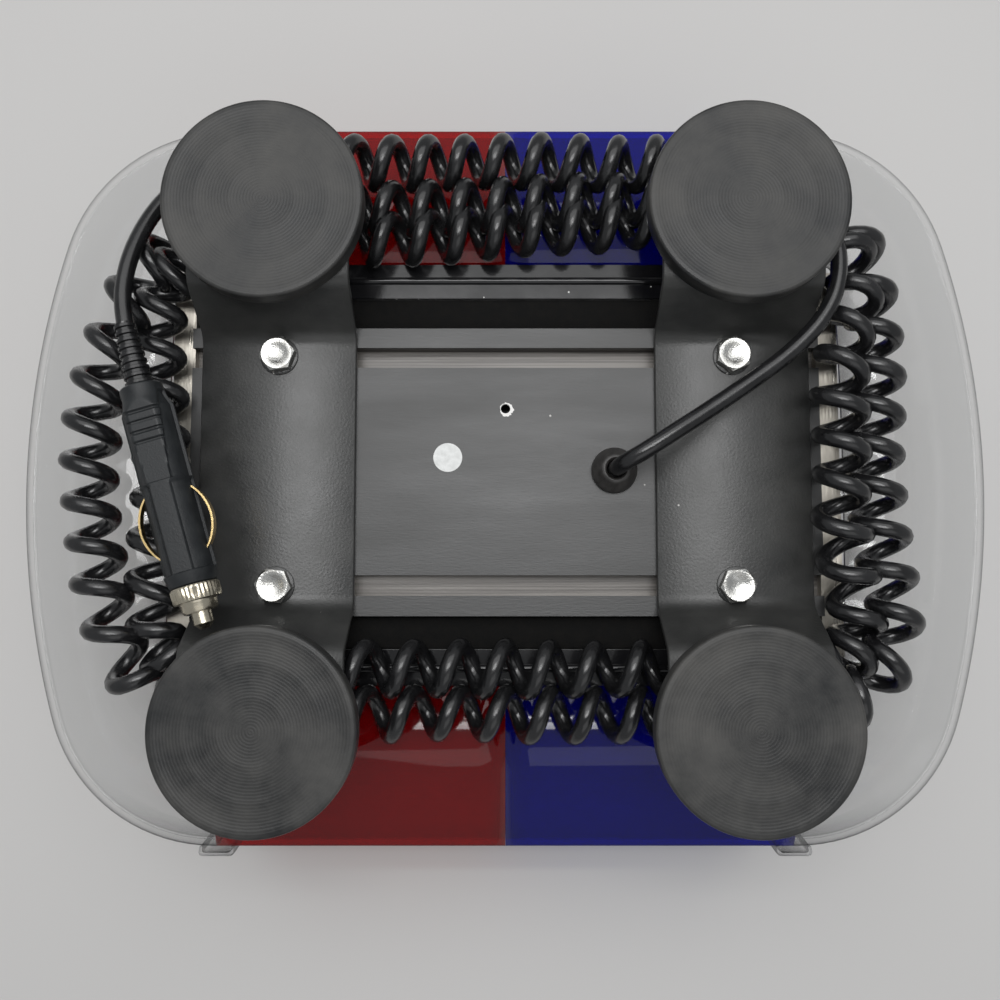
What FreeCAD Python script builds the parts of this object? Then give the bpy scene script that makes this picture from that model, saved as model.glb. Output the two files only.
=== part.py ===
# Magnetic warning light bar with strap brackets, four magnet feet and a wrapped curly cord.
# Millimetres. +Z is up in use, X is the long way, Y is the depth, and the magnets stand on z = 0.

import FreeCAD, Part
import Sketcher
import math
import os
from FreeCAD import Placement, Rotation, Vector

os.makedirs("parts", exist_ok=True)
doc = FreeCAD.newDocument("warning_light_bar")

# ---------------------------------------------------------------- driving dimensions

DIMENSIONS = {
    # feet: rubber boot, pressed steel pot with a welded stud, ferrite ring
    "foot_x": 94, "foot_y": 101, "boot_radius": 39, "boot_wall": 2.5, "sole_thick": 2,
    "foot_height": 12, "boot_height": 10.5, "pot_wall": 3, "ring_bore": 12, "stud_radius": 4,
    "stud_top": 20.5, "nut_height": 5, "nut_flats": 13, "fit_gap": 0.05,
    # strap brackets: bent steel strip
    "strap_width": 64, "strap_thick": 3, "strap_under": 37, "bend_y": 55.5, "leg_foot_y": 72,
    "strap_end_y": 120, "stud_hole": 4.3, "bolt_hole": 4.2,
    # bolts, washers and slot nuts
    "bolt_y": 47.5, "bolt_radius": 4, "bolt_head_height": 5.3, "washer_thick": 0.9,
    "washer_radius": 7.9, "bolt_end_z": 48.4, "slot_nut_width": 16.4, "slot_nut_length": 20,
    "slot_nut_height": 5,
    # aluminium base extrusion with two slots
    "base_under": 40, "base_half_length": 131, "base_half_width": 60, "base_top": 60,
    "slot_half": 4.25, "slot_lip": 3, "slot_cavity_half": 9, "slot_cavity_height": 6,
    "ledge_y": 80, "ledge_under": 46, "ledge_thick": 3, "chamber_y": 34, "chamber_under": 43,
    "chamber_top": 57, "side_chamber_in": 40, "side_chamber_out": 57, "side_chamber_under": 52,
    # glossy side rails and the end angles that carry the domes
    "rail_in_y": 74, "rail_out_y": 88.6, "rail_under": 44, "rail_thick": 2, "rail_top": 52,
    "bead_y": 81.5, "bead_radius": 1.6, "end_ledge_x": 140, "end_ledge_y": 85,
    "end_plate_thick": 3,
    "end_screw_radius": 2, "end_screw_y": 50, "end_screw_z": 54.5, "end_screw_length": 6.2,
    # lens and dome shell: insets are measured inwards from the widest outline
    "seam_x": 125, "half_length": 213.5, "rim_y": 160, "corner_radius": 75, "end_radius": 380,
    "lip_end_radius": 2000, "shell_wall": 3, "lip_inset": 70.6, "lip_z": 45, "fold_inset": 39,
    "fold_z": 51, "rim_z": 71,
    "rim_top_z": 76, "shoulder_inset": 3, "shoulder_z": 97, "haunch_inset": 20, "haunch_z": 115,
    "brow_inset": 52, "brow_z": 125, "crown_inset": 68, "crown_z": 128,
    # clear collars over the joints between lenses and domes
    "collar_width": 15, "collar_thick": 4, "collar_gap": 0.3,
    # lamp tray, boards and reflectors
    "tray_half_length": 118, "tray_y": 42, "tray_thick": 2, "tray_top": 100, "board_length": 108,
    "board_height": 32, "board_under": 65, "board_thick": 1.6, "lamp_count": 6, "lamp_pitch": 17.6,
    "lamp_side": 5, "lamp_thick": 2.2, "reflector_depth": 14, "reflector_cup": 8.2,
    "reflector_neck": 4.4, "reflector_margin": 4, "driver_length": 96, "driver_width": 62,
    "driver_z": 70, "driver_post_radius": 3, "driver_post_inset": 6, "driver_can_radius": 5,
    "driver_can_height": 12, "driver_can_pitch": 14, "driver_can_y": 14,
    "driver_chip_length": 10, "driver_chip_width": 7, "driver_chip_height": 2.5,
    "driver_chip_pitch": 24, "driver_chip_y": 12,
    # cable gland
    "gland_x": 45, "gland_flange": 9.5, "gland_thick": 4, "gland_nose": 6, "gland_mouth_z": 31,
    "gland_thread": 7.5, "gland_nut_radius": 10, "gland_nut_height": 4,
    # cord
    "cord_radius": 3.4, "coil_radius": 12,
    # 12 V plug: distances along it from its cord end
    "plug_heading": 73.6, "plug_x": -145.5, "plug_y": -42, "plug_z": 11,
    "relief_length": 13, "relief_radius": 5.4, "relief_tip_radius": 4.6, "plug_collar": 17,
    "plug_body_end": 93, "plug_neck_radius": 8.2, "plug_radius": 10.3, "plug_bore": 7.4,
    "plug_ring_end": 99, "plug_ring_radius": 9.4, "plug_hex_end": 103.5, "plug_hex_radius": 7,
    "plug_length": 110, "pin_radius": 3.9, "pin_clearance": 0.08, "pin_head_radius": 4.9,
    "contact_from": 53, "contact_to": 83.5, "contact_bow": 4, "contact_width": 4,
    "contact_thick": 0.8, "contact_foot": 1.6,
    "screw_at": 42, "screw_radius": 2.5, "screw_head": 1.6, "screw_shank": 1.2,
    "screw_well_radius": 2.6, "fuse_radius": 3.1, "fuse_from": 44, "fuse_to": 72,
    "spring_in": 2.3, "spring_out": 3.3, "spring_from": 73, "spring_to": 88,
    # blank round label
    "label_x": -24, "label_y": -5.5, "label_radius": 6, "label_thick": 0.15,
    "vent_y": -26, "vent_radius": 2,
}

sheet = doc.addObject("Spreadsheet::Sheet", "dims")
for row, (alias, number) in enumerate(DIMENSIONS.items(), start=1):
    sheet.set(f"A{row}", alias)
    sheet.set(f"B{row}", str(number))
    sheet.setAlias(f"B{row}", alias)
doc.recompute()


def mm(expression):
    """The number that an expression over the sheet's aliases gives."""
    result = sheet.evalExpression(expression)
    return float(getattr(result, "Value", result))


def bind(piece, **expressions):
    """Bind properties of an object to expressions over the sheet; __ stands for a dot."""
    for prop, expression in expressions.items():
        piece.setExpression(prop.replace("__", "."), expression.replace("@", "dims."))
    return piece


def value(expression):
    return mm(expression.replace("@", ""))


# ---------------------------------------------------------------- building helpers

PARTS = []


def part(name, piece):
    """Name an object as one sub-part of the assembly."""
    piece.Label = name
    PARTS.append(piece)
    return piece


def place(piece, x, y, z):
    return bind(piece, Placement__Base__x=x, Placement__Base__y=y, Placement__Base__z=z)


def box(name, length, width, height, x, y, z):
    """A box centred on x and y, standing on z."""
    piece = doc.addObject("Part::Box", name)
    bind(piece, Length=length, Width=width, Height=height)
    return place(piece, f"({x}) - ({length}) / 2", f"({y}) - ({width}) / 2", z)


def cylinder(name, radius, height, x, y, z, rotation=None):
    piece = doc.addObject("Part::Cylinder", name)
    bind(piece, Radius=radius, Height=height)
    if rotation is not None:
        piece.Placement = Placement(Vector(0, 0, 0), rotation)
    return place(piece, x, y, z)


def hexagon(name, flats, height, x, y, z):
    piece = doc.addObject("Part::Prism", name)
    piece.Polygon = 6
    bind(piece, Circumradius=f"({flats}) / sqrt(3)", Height=height)
    return place(piece, x, y, z)


def fuse(name, pieces):
    piece = doc.addObject("Part::MultiFuse", name)
    piece.Shapes = pieces
    return piece


def cut(name, base, tool):
    piece = doc.addObject("Part::Cut", name)
    piece.Base = base
    piece.Tool = tool
    return piece


def group(name, pieces):
    """Separate like solids that share one node."""
    piece = doc.addObject("Part::Compound", name)
    piece.Links = pieces
    return piece


def feature(name, shape):
    piece = doc.addObject("Part::Feature", name)
    piece.Shape = shape
    piece.Placement = Placement()
    return piece


def origin_plane(body, role):
    return [item for item in body.Origin.OriginFeatures if item.Role == role][0]


def sketch_loop(sketch, points):
    """A closed loop of straight lines, with both coordinates of every corner bound to the sheet."""
    first = sketch.GeometryCount
    corners = [Vector(value(across), value(up), 0) for across, up in points]
    for index, corner in enumerate(corners):
        following = corners[(index + 1) % len(corners)]
        sketch.addGeometry(Part.LineSegment(corner, following), False)
    for index in range(len(points)):
        following = first + (index + 1) % len(points)
        sketch.addConstraint(Sketcher.Constraint("Coincident", first + index, 2, following, 1))
    for index, (across, up) in enumerate(points):
        for kind, expression in (("DistanceX", across), ("DistanceY", up)):
            number = sketch.addConstraint(
                Sketcher.Constraint(kind, first + index, 1, value(expression)))
            sketch.setExpression(f"Constraints[{number}]", expression.replace("@", "dims."))


def body_with_sketch(name, role, loops):
    body = doc.addObject("PartDesign::Body", name)
    sketch = body.newObject("Sketcher::SketchObject", name + "_sketch")
    sketch.AttachmentSupport = [(origin_plane(body, role), "")]
    sketch.MapMode = "FlatFace"
    for loop in loops:
        sketch_loop(sketch, loop)
    doc.recompute()
    return body, sketch


def padded_body(name, loops, length):
    """A section drawn across Y and Z and padded along X, centred on its own origin."""
    body, sketch = body_with_sketch(name, "YZ_Plane", loops)
    pad = body.newObject("PartDesign::Pad", name + "_pad")
    pad.Profile = sketch
    pad.Midplane = True
    bind(pad, Length=length)
    doc.recompute()
    return body


def turned_body(name, loop, angle=360, reverse=False):
    """A half section in radius and height, turned about the body's own Z axis."""
    body, sketch = body_with_sketch(name, "XZ_Plane", [loop])
    turn = body.newObject("PartDesign::Revolution", name + "_turn")
    turn.Profile = sketch
    turn.ReferenceAxis = (sketch, ["V_Axis"])
    turn.Angle = angle
    turn.Reversed = reverse
    doc.recompute()
    return body


def both_sides(points):
    """A loop of points given on the +Y side, with its mirror image on the -Y side."""
    mirrored = [(f"-({across})", up) for across, up in reversed(points)]
    return points + mirrored


SIDES = {"left": -1, "right": 1}
ENDS = {"front": -1, "rear": 1}

# ---------------------------------------------------------------- base extrusion

slot_in, slot_out = "(@bolt_y - @slot_half)", "(@bolt_y + @slot_half)"
cavity_in, cavity_out = "(@bolt_y - @slot_cavity_half)", "(@bolt_y + @slot_cavity_half)"
lip_top = "(@base_under + @slot_lip)"
cavity_top = "(@base_under + @slot_lip + @slot_cavity_height)"
base_outline = both_sides([
    (slot_in, "@base_under"), (slot_in, lip_top), (cavity_in, lip_top), (cavity_in, cavity_top),
    (cavity_out, cavity_top), (cavity_out, lip_top), (slot_out, lip_top),
    (slot_out, "@base_under"), ("@base_half_width", "@base_under"),
    ("@base_half_width", "@ledge_under"), ("@ledge_y", "@ledge_under"),
    ("@ledge_y", "@ledge_under + @ledge_thick"),
    ("@base_half_width", "@ledge_under + @ledge_thick"), ("@base_half_width", "@base_top")])
central_chamber = both_sides([("@chamber_y", "@chamber_under"), ("@chamber_y", "@chamber_top")])
side_chambers = [
    [(f"{sign} * @side_chamber_in", "@side_chamber_under"),
     (f"{sign} * @side_chamber_out", "@side_chamber_under"),
     (f"{sign} * @side_chamber_out", "@chamber_top"),
     (f"{sign} * @side_chamber_in", "@chamber_top")] for sign in (-1, 1)]
profile = padded_body("base_profile", [base_outline, central_chamber] + side_chambers,
                      "2 * @base_half_length")
gland_hole = cylinder("gland_hole", "@gland_thread + @fit_gap", "4 * @slot_lip",
                      "@gland_x", "0", "@base_under - @slot_lip")
vent_hole = cylinder("vent_hole", "@vent_radius", "2 * @slot_lip", "0", "@vent_y",
                     "@base_under - @slot_lip / 2")
lead_hole = cylinder("lead_hole", "@gland_thread", "3 * @slot_lip", "@gland_x - 20", "0",
                     "@chamber_top - @slot_lip")
part("base_extrusion", cut("base_cut", profile,
                           fuse("base_holes", [gland_hole, vent_hole, lead_hole])))

# ---------------------------------------------------------------- side rails and end angles

for end, sign in ENDS.items():
    slab = box(f"{end}_rail_slab", "2 * @base_half_length", "@rail_out_y - @rail_in_y",
               "@rail_thick", "0", f"{sign} * (@rail_out_y + @rail_in_y) / 2", "@rail_under")
    upstand = box(f"{end}_rail_upstand", "2 * @base_half_length", "2 * @rail_thick",
                  "@rail_top - @rail_under", "0", f"{sign} * (@rail_out_y - @rail_thick)",
                  "@rail_under")
    bead = cylinder(f"{end}_rail_bead", "@bead_radius", "2 * @base_half_length",
                    "-@base_half_length", f"{sign} * @bead_y", "@rail_under",
                    Rotation(Vector(0, 1, 0), 90))
    part(f"{end}_rail", fuse(f"{end}_rail_fuse", [slab, upstand, bead]))

end_screws = []
for side, sign in SIDES.items():
    ledge = box(f"{side}_end_ledge", "@end_ledge_x - @base_half_length", "2 * @end_ledge_y",
                "@end_plate_thick", f"{sign} * (@end_ledge_x + @base_half_length) / 2", "0",
                "@rail_under")
    plate = box(f"{side}_end_upright", "@end_plate_thick", "2 * @base_half_width",
                "@base_top - @rail_under",
                f"{sign} * (@base_half_length + @end_plate_thick / 2)", "0", "@rail_under")
    holes = [cylinder(f"{side}_end_hole_{end}", "@end_screw_radius + @fit_gap",
                      "4 * @end_plate_thick",
                      f"{sign} * @base_half_length - 2 * @end_plate_thick",
                      f"{way} * @end_screw_y", "@end_screw_z",
                      Rotation(Vector(0, 1, 0), 90))
             for end, way in ENDS.items()]
    part(f"{side}_end_angle", cut(f"{side}_end_cut",
                                  fuse(f"{side}_end_fuse", [ledge, plate]),
                                  fuse(f"{side}_end_holes", holes)))
    for end, way in ENDS.items():
        start = f"{sign} * @base_half_length + {min(sign, 0)} * @end_screw_length"
        shank = cylinder(f"{side}_{end}_end_shank", "@end_screw_radius", "@end_screw_length",
                         start, f"{way} * @end_screw_y", "@end_screw_z",
                         Rotation(Vector(0, 1, 0), 90))
        head_start = (f"{sign} * (@base_half_length + @end_plate_thick)"
                      f" + {min(sign, 0)} * @end_screw_radius")
        head = cylinder(f"{side}_{end}_end_head", "2 * @end_screw_radius", "@end_screw_radius",
                        head_start, f"{way} * @end_screw_y", "@end_screw_z",
                        Rotation(Vector(0, 1, 0), 90))
        end_screws.append(fuse(f"{side}_{end}_end_screw", [shank, head]))
part("end_angle_screws", group("end_screw_group", end_screws))

# ---------------------------------------------------------------- lenses, domes and collars

SHELL_STATIONS = ["lip", "fold", "rim", "rim_top", "shoulder", "haunch", "brow", "crown"]
STATION_INSETS = {"rim": 0.0, "rim_top": 0.0}


def shell_path(offset):
    """The shell's section as (inset, z) pairs, moved towards the inside by offset."""
    stations = [(STATION_INSETS[name] if name in STATION_INSETS else mm(f"{name}_inset"),
                 mm(f"{name}_z")) for name in SHELL_STATIONS]
    moved = []
    for index, (inset, height) in enumerate(stations):
        normals = []
        for here, there in ((index - 1, index), (index, index + 1)):
            if here < 0 or there >= len(stations):
                continue
            run = stations[there][0] - stations[here][0]
            rise = stations[there][1] - stations[here][1]
            length = math.hypot(run, rise)
            normals.append((rise / length, -run / length))
        across = sum(normal[0] for normal in normals) / len(normals)
        up = sum(normal[1] for normal in normals) / len(normals)
        stretch = offset / (across ** 2 + up ** 2)
        moved.append((inset + across * stretch, height + up * stretch))
    # the lip is cut square and the crown is level
    moved[0] = (moved[0][0], stations[0][1])
    moved[-1] = (stations[-1][0], stations[-1][1] - offset)
    return moved


def section_outline(offset):
    """The section across Y and Z: from the +Y lip over the crown to the -Y lip."""
    rim_y = mm("rim_y")
    half = [(rim_y - inset, height) for inset, height in shell_path(offset)]
    return half + [(-across, height) for across, height in reversed(half)]


def arch(outer, inner, x_from, x_to):
    """A band between two section outlines, from one X to another."""
    corners = [Vector(x_from, across, height) for across, height in outer + inner[::-1]]
    face = Part.Face(Part.makePolygon(corners + corners[:1]))
    return face.extrude(Vector(x_to - x_from, 0, 0))


lens_arch = (section_outline(0.0), section_outline(mm("shell_wall")))
part("red_lens", feature("red_lens_shell", arch(*lens_arch, -mm("seam_x"), -mm("fit_gap"))))
part("blue_lens", feature("blue_lens_shell", arch(*lens_arch, mm("fit_gap"), mm("seam_x"))))


def plan_wire(inset, height, x_start, end_radius):
    """The dome's outline at one height: a straight start, a corner arc and the long end arc."""
    corner, long_way = mm("corner_radius") - inset, end_radius - inset
    end_centre = mm("half_length") - end_radius
    corner_y = mm("rim_y") - mm("corner_radius")
    corner_x = end_centre + math.sqrt((long_way - corner) ** 2 - corner_y ** 2)
    tangent = math.atan2(corner_y, corner_x - end_centre)
    middle = (math.pi / 2 + tangent) / 2

    def on_corner(angle, side):
        return Vector(corner_x + corner * math.cos(angle),
                      side * (corner_y + corner * math.sin(angle)), height)

    def straight(side):
        return [Vector(x_start, side * (corner_y + corner), height), on_corner(math.pi / 2, side)]

    far_point = Vector(end_centre + long_way, 0, height)
    edges = [
        Part.LineSegment(*straight(-1)).toShape(),
        Part.Arc(on_corner(math.pi / 2, -1), on_corner(middle, -1),
                 on_corner(tangent, -1)).toShape(),
        Part.Arc(on_corner(tangent, -1), far_point, on_corner(tangent, 1)).toShape(),
        Part.Arc(on_corner(tangent, 1), on_corner(middle, 1),
                 on_corner(math.pi / 2, 1)).toShape(),
        Part.LineSegment(straight(1)[1], straight(1)[0]).toShape(),
        Part.LineSegment(straight(1)[0], straight(-1)[0]).toShape()]
    return Part.Wire(edges)


def dome_solid(offset, x_start):
    """The filled dome, its outline lofted straight from each station to the next."""
    end_radii = [mm("lip_end_radius")] + [mm("end_radius")] * (len(SHELL_STATIONS) - 1)
    wires = [plan_wire(inset, height, x_start, end_radius)
             for (inset, height), end_radius in zip(shell_path(offset), end_radii)]
    solid = None
    for lower, upper in zip(wires[:-1], wires[1:]):
        layer = Part.makeLoft([lower, upper], True, True)
        solid = layer if solid is None else solid.fuse(layer)
    return solid


dome_shape = dome_solid(0.0, mm("seam_x")).cut(
    dome_solid(mm("shell_wall"), mm("seam_x") - mm("shell_wall"))).removeSplitter()
part("right_dome", feature("right_dome_shell", dome_shape))
part("left_dome", feature("left_dome_shell",
                          dome_shape.mirror(Vector(0, 0, 0), Vector(1, 0, 0))))

rim_station = SHELL_STATIONS.index("rim")
collar_outer = section_outline(-mm("collar_thick") - mm("collar_gap"))
collar_inner = section_outline(-mm("collar_gap"))
for side, sign in SIDES.items():
    centre, reach = sign * mm("seam_x"), mm("collar_width") / 2
    part(f"{side}_seam_collar", feature(f"{side}_collar_band", arch(
        collar_outer[rim_station:-rim_station], collar_inner[rim_station:-rim_station],
        centre - reach, centre + reach)))

# ---------------------------------------------------------------- lamp tray, boards, reflectors

part("lamp_tray", padded_body("tray_body", [both_sides([
    ("@tray_y", "@base_top"), ("@tray_y", "@tray_top"),
    ("@tray_y - @tray_thick", "@tray_top"),
    ("@tray_y - @tray_thick", "@base_top + @tray_thick")])], "2 * @tray_half_length"))

COLOURS = {"red": -1, "blue": 1}
board_centre_z = "(@board_under + @board_height / 2)"
for colour, sign in COLOURS.items():
    centre_x = f"({sign} * (@tray_half_length - @board_length / 2 - 2))"
    boards, lamps, reflectors = [], [], []
    for end, way in ENDS.items():
        boards.append(box(f"{colour}_{end}_board", "@board_length", "@board_thick",
                          "@board_height", centre_x,
                          f"{way} * (@tray_y + @board_thick / 2)", "@board_under"))
        lamp_y = f"{way} * (@tray_y + @board_thick + @lamp_thick / 2)"
        face_y = f"{way} * (@tray_y + @board_thick)"
        cups = []
        for index in range(int(mm("lamp_count"))):
            lamp_x = f"{centre_x} + ({index} - (@lamp_count - 1) / 2) * @lamp_pitch"
            lamps.append(box(f"{colour}_{end}_lamp_{index}", "@lamp_side", "@lamp_thick",
                             "@lamp_side", lamp_x, lamp_y,
                             f"{board_centre_z} - @lamp_side / 2"))
            cup = doc.addObject("Part::Cone", f"{colour}_{end}_cup_{index}")
            bind(cup, Radius1="@reflector_neck", Radius2="@reflector_cup",
                 Height="@reflector_depth")
            cup.Placement = Placement(Vector(0, 0, 0), Rotation(Vector(1, 0, 0), -90 * way))
            cups.append(place(cup, lamp_x, face_y, board_centre_z))
        block = box(f"{colour}_{end}_reflector_block", "@board_length", "@reflector_depth",
                    "@board_height - 2 * @reflector_margin", centre_x,
                    f"{way} * (@tray_y + @board_thick + @reflector_depth / 2)",
                    "@board_under + @reflector_margin")
        reflectors.append(cut(f"{colour}_{end}_reflector", block,
                              fuse(f"{colour}_{end}_cups", cups)))
    part(f"{colour}_lamp_boards", group(f"{colour}_board_group", boards))
    part(f"{colour}_lamps", group(f"{colour}_lamp_group", lamps))
    part(f"{colour}_reflectors", group(f"{colour}_reflector_group", reflectors))

driver = [box("driver_laminate", "@driver_length", "@driver_width", "@board_thick", "0", "0",
              "@driver_z")]
for post, (along, across) in enumerate(((-1, -1), (-1, 1), (1, -1), (1, 1))):
    driver.append(cylinder(f"driver_post_{post}", "@driver_post_radius",
                           "@driver_z - @base_top - @tray_thick",
                           f"{along} * (@driver_length / 2 - @driver_post_inset)",
                           f"{across} * (@driver_width / 2 - @driver_post_inset)",
                           "@base_top + @tray_thick"))
for step in (-2, -1, 0):
    driver.append(cylinder(f"driver_can_{-step}", "@driver_can_radius", "@driver_can_height",
                           f"{step} * @driver_can_pitch", "@driver_can_y",
                           "@driver_z + @board_thick"))
for step in (-1, 0, 1):
    driver.append(box(f"driver_chip_{step + 1}", "@driver_chip_length", "@driver_chip_width",
                      "@driver_chip_height", f"{step} * @driver_chip_pitch",
                      "-@driver_chip_y", "@driver_z + @board_thick"))
part("flash_driver_board", group("driver_group", driver))

# ---------------------------------------------------------------- label, gland

part("blank_label", cylinder("label_disc", "@label_radius", "@label_thick", "@label_x",
                             "@label_y", "@base_under - @label_thick"))

gland = turned_body("gland_body_turned", [
    ("@cord_radius", "@gland_mouth_z"), ("@gland_nose", "@gland_mouth_z"),
    ("@gland_flange", "@base_under - @gland_thick"), ("@gland_flange", "@base_under"),
    ("@gland_thread", "@base_under"), ("@gland_thread", "@chamber_under + @gland_nut_height + 1"),
    ("@cord_radius", "@chamber_under + @gland_nut_height + 1")])
part("gland_body", place(gland, "@gland_x", "0", "0"))
gland_nut = cut("gland_nut_cut",
                hexagon("gland_nut_hexagon", "2 * @gland_nut_radius", "@gland_nut_height",
                        "@gland_x", "0", "@chamber_under"),
                cylinder("gland_nut_bore", "@gland_thread + @fit_gap", "3 * @gland_nut_height",
                         "@gland_x", "0", "@chamber_under - @gland_nut_height"))
part("gland_nut", gland_nut)

# ---------------------------------------------------------------- strap brackets

foot_inner_y, foot_outer_y = "@leg_foot_y", "@strap_end_y"
upper = "+ @strap_thick"
strap_outline = both_sides([
    ("@bend_y", "@strap_under"), (foot_inner_y, "@foot_height"), (foot_outer_y, "@foot_height"),
    (foot_outer_y, f"@foot_height {upper}"), (f"{foot_inner_y} + 1.7", f"@foot_height {upper}"),
    (f"@bend_y + 1.7", f"@strap_under {upper}")])
for side, sign in SIDES.items():
    strap = padded_body(f"{side}_strap", [strap_outline], "@strap_width")
    centre_x = f"{sign} * @foot_x"
    place(strap, centre_x, "0", "0")
    holes = []
    for end, way in ENDS.items():
        holes.append(cylinder(f"{side}_{end}_stud_hole", "@stud_hole", "3 * @strap_thick",
                              centre_x, f"{way} * @foot_y", "@foot_height - @strap_thick"))
        holes.append(cylinder(f"{side}_{end}_bolt_hole", "@bolt_hole", "3 * @strap_thick",
                              centre_x, f"{way} * @bolt_y", "@strap_under - @strap_thick"))
    part(f"{side}_bracket", cut(f"{side}_bracket_cut", strap,
                                fuse(f"{side}_bracket_holes", holes)))

    bolts, washers, slot_nuts, foot_nuts = [], [], [], []
    for end, way in ENDS.items():
        name, bolt_y, foot_y = f"{side}_{end}", f"{way} * @bolt_y", f"{way} * @foot_y"
        head_under = "(@strap_under - @washer_thick - @bolt_head_height)"
        head = hexagon(f"{name}_bolt_head", "@nut_flats", "@bolt_head_height", centre_x, bolt_y,
                       head_under)
        shank = cylinder(f"{name}_bolt_shank", "@bolt_radius",
                         f"@bolt_end_z - {head_under} - 1", centre_x, bolt_y,
                         f"{head_under} + 1")
        bolts.append(fuse(f"{name}_bolt", [head, shank]))
        washers.append(cut(f"{name}_washer",
                           cylinder(f"{name}_washer_disc", "@washer_radius", "@washer_thick",
                                    centre_x, bolt_y, "@strap_under - @washer_thick"),
                           cylinder(f"{name}_washer_bore", "@bolt_hole", "3 * @washer_thick",
                                    centre_x, bolt_y, "@strap_under - 2 * @washer_thick")))
        slot_nuts.append(cut(f"{name}_slot_nut",
                             box(f"{name}_slot_nut_block", "@slot_nut_length",
                                 "@slot_nut_width", "@slot_nut_height", centre_x, bolt_y,
                                 lip_top),
                             cylinder(f"{name}_slot_nut_bore", "@bolt_radius + @fit_gap",
                                      "3 * @slot_nut_height", centre_x, bolt_y,
                                      f"{lip_top} - @slot_nut_height")))
        foot_nuts.append(cut(f"{name}_foot_nut",
                             hexagon(f"{name}_foot_nut_hexagon", "@nut_flats", "@nut_height",
                                     centre_x, foot_y, "@foot_height + @strap_thick"),
                             cylinder(f"{name}_foot_nut_bore", "@stud_radius + @fit_gap",
                                      "3 * @nut_height", centre_x, foot_y, "@foot_height")))
    part(f"{side}_bracket_bolts", group(f"{side}_bolt_group", bolts))
    part(f"{side}_bracket_washers", group(f"{side}_washer_group", washers))
    part(f"{side}_slot_nuts", group(f"{side}_slot_nut_group", slot_nuts))
    part(f"{side}_foot_nuts", group(f"{side}_foot_nut_group", foot_nuts))

# ---------------------------------------------------------------- magnet feet

pot_radius = "(@boot_radius - @boot_wall)"
for side, sign in SIDES.items():
    for end, way in ENDS.items():
        name = f"{end}_{side}"
        centre = (f"{sign} * @foot_x", f"{way} * @foot_y", "0")
        boot = turned_body(f"{name}_boot_turned", [
            ("0", "0"), ("@boot_radius", "0"), ("@boot_radius", "@boot_height"),
            (pot_radius, "@boot_height"), (pot_radius, "@sole_thick"), ("0", "@sole_thick")])
        part(f"{name}_boot", place(boot, *centre))
        pot = turned_body(f"{name}_pot_turned", [
            ("0", "@foot_height - @pot_wall"),
            (f"{pot_radius} - @pot_wall", "@foot_height - @pot_wall"),
            (f"{pot_radius} - @pot_wall", "@sole_thick"), (pot_radius, "@sole_thick"),
            (pot_radius, "@foot_height"), ("@stud_radius", "@foot_height"),
            ("@stud_radius", "@stud_top"), ("0", "@stud_top")])
        part(f"{name}_pot", place(pot, *centre))
        ring = turned_body(f"{name}_magnet_turned", [
            ("@ring_bore", "@sole_thick"), (f"{pot_radius} - @pot_wall - 1", "@sole_thick"),
            (f"{pot_radius} - @pot_wall - 1", "@foot_height - @pot_wall"),
            ("@ring_bore", "@foot_height - @pot_wall")])
        part(f"{name}_magnet", place(ring, *centre))

# ---------------------------------------------------------------- cord


def route_path(points):
    """Straight runs joined by tangent arcs, each as large as its two runs allow."""
    radii, edges = [], []
    start = points[0]
    for before, here, after in zip(points[:-2], points[1:-1], points[2:]):
        back, ahead = (before - here), (after - here)
        shorter = min(back.Length, ahead.Length)
        back.normalize()
        ahead.normalize()
        half_turn = (math.pi - back.getAngle(ahead)) / 2
        reach = 0.45 * shorter
        radius = reach / math.tan(half_turn)
        bisector = back + ahead
        bisector.normalize()
        middle = here + bisector * (radius / math.cos(half_turn) - radius)
        arc_start, arc_end = here + back * reach, here + ahead * reach
        edges.append(Part.LineSegment(start, arc_start).toShape())
        edges.append(Part.Arc(arc_start, middle, arc_end).toShape())
        radii.append(radius)
        start = arc_end
    edges.append(Part.LineSegment(start, points[-1]).toShape())
    return Part.Wire(edges), radii


def cord_tube(name, radius, coordinates):
    points = [Vector(*point) for point in coordinates]
    path, radii = route_path(points)
    heading = points[1] - points[0]
    ring = Part.Wire(Part.Circle(points[0], heading, radius).toShape())
    tube = path.makePipeShell([ring], True, False)
    expected = math.pi * radius ** 2 * path.Length
    print(f"{name}: length {path.Length:.0f}, smallest radius {min(radii):.1f}, "
          f"volume over section x length {tube.Volume / expected:.4f}")
    print("   radii", " ".join(f"{size:.0f}" for size in radii))
    return part(name, feature(name + "_tube", tube))


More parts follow.
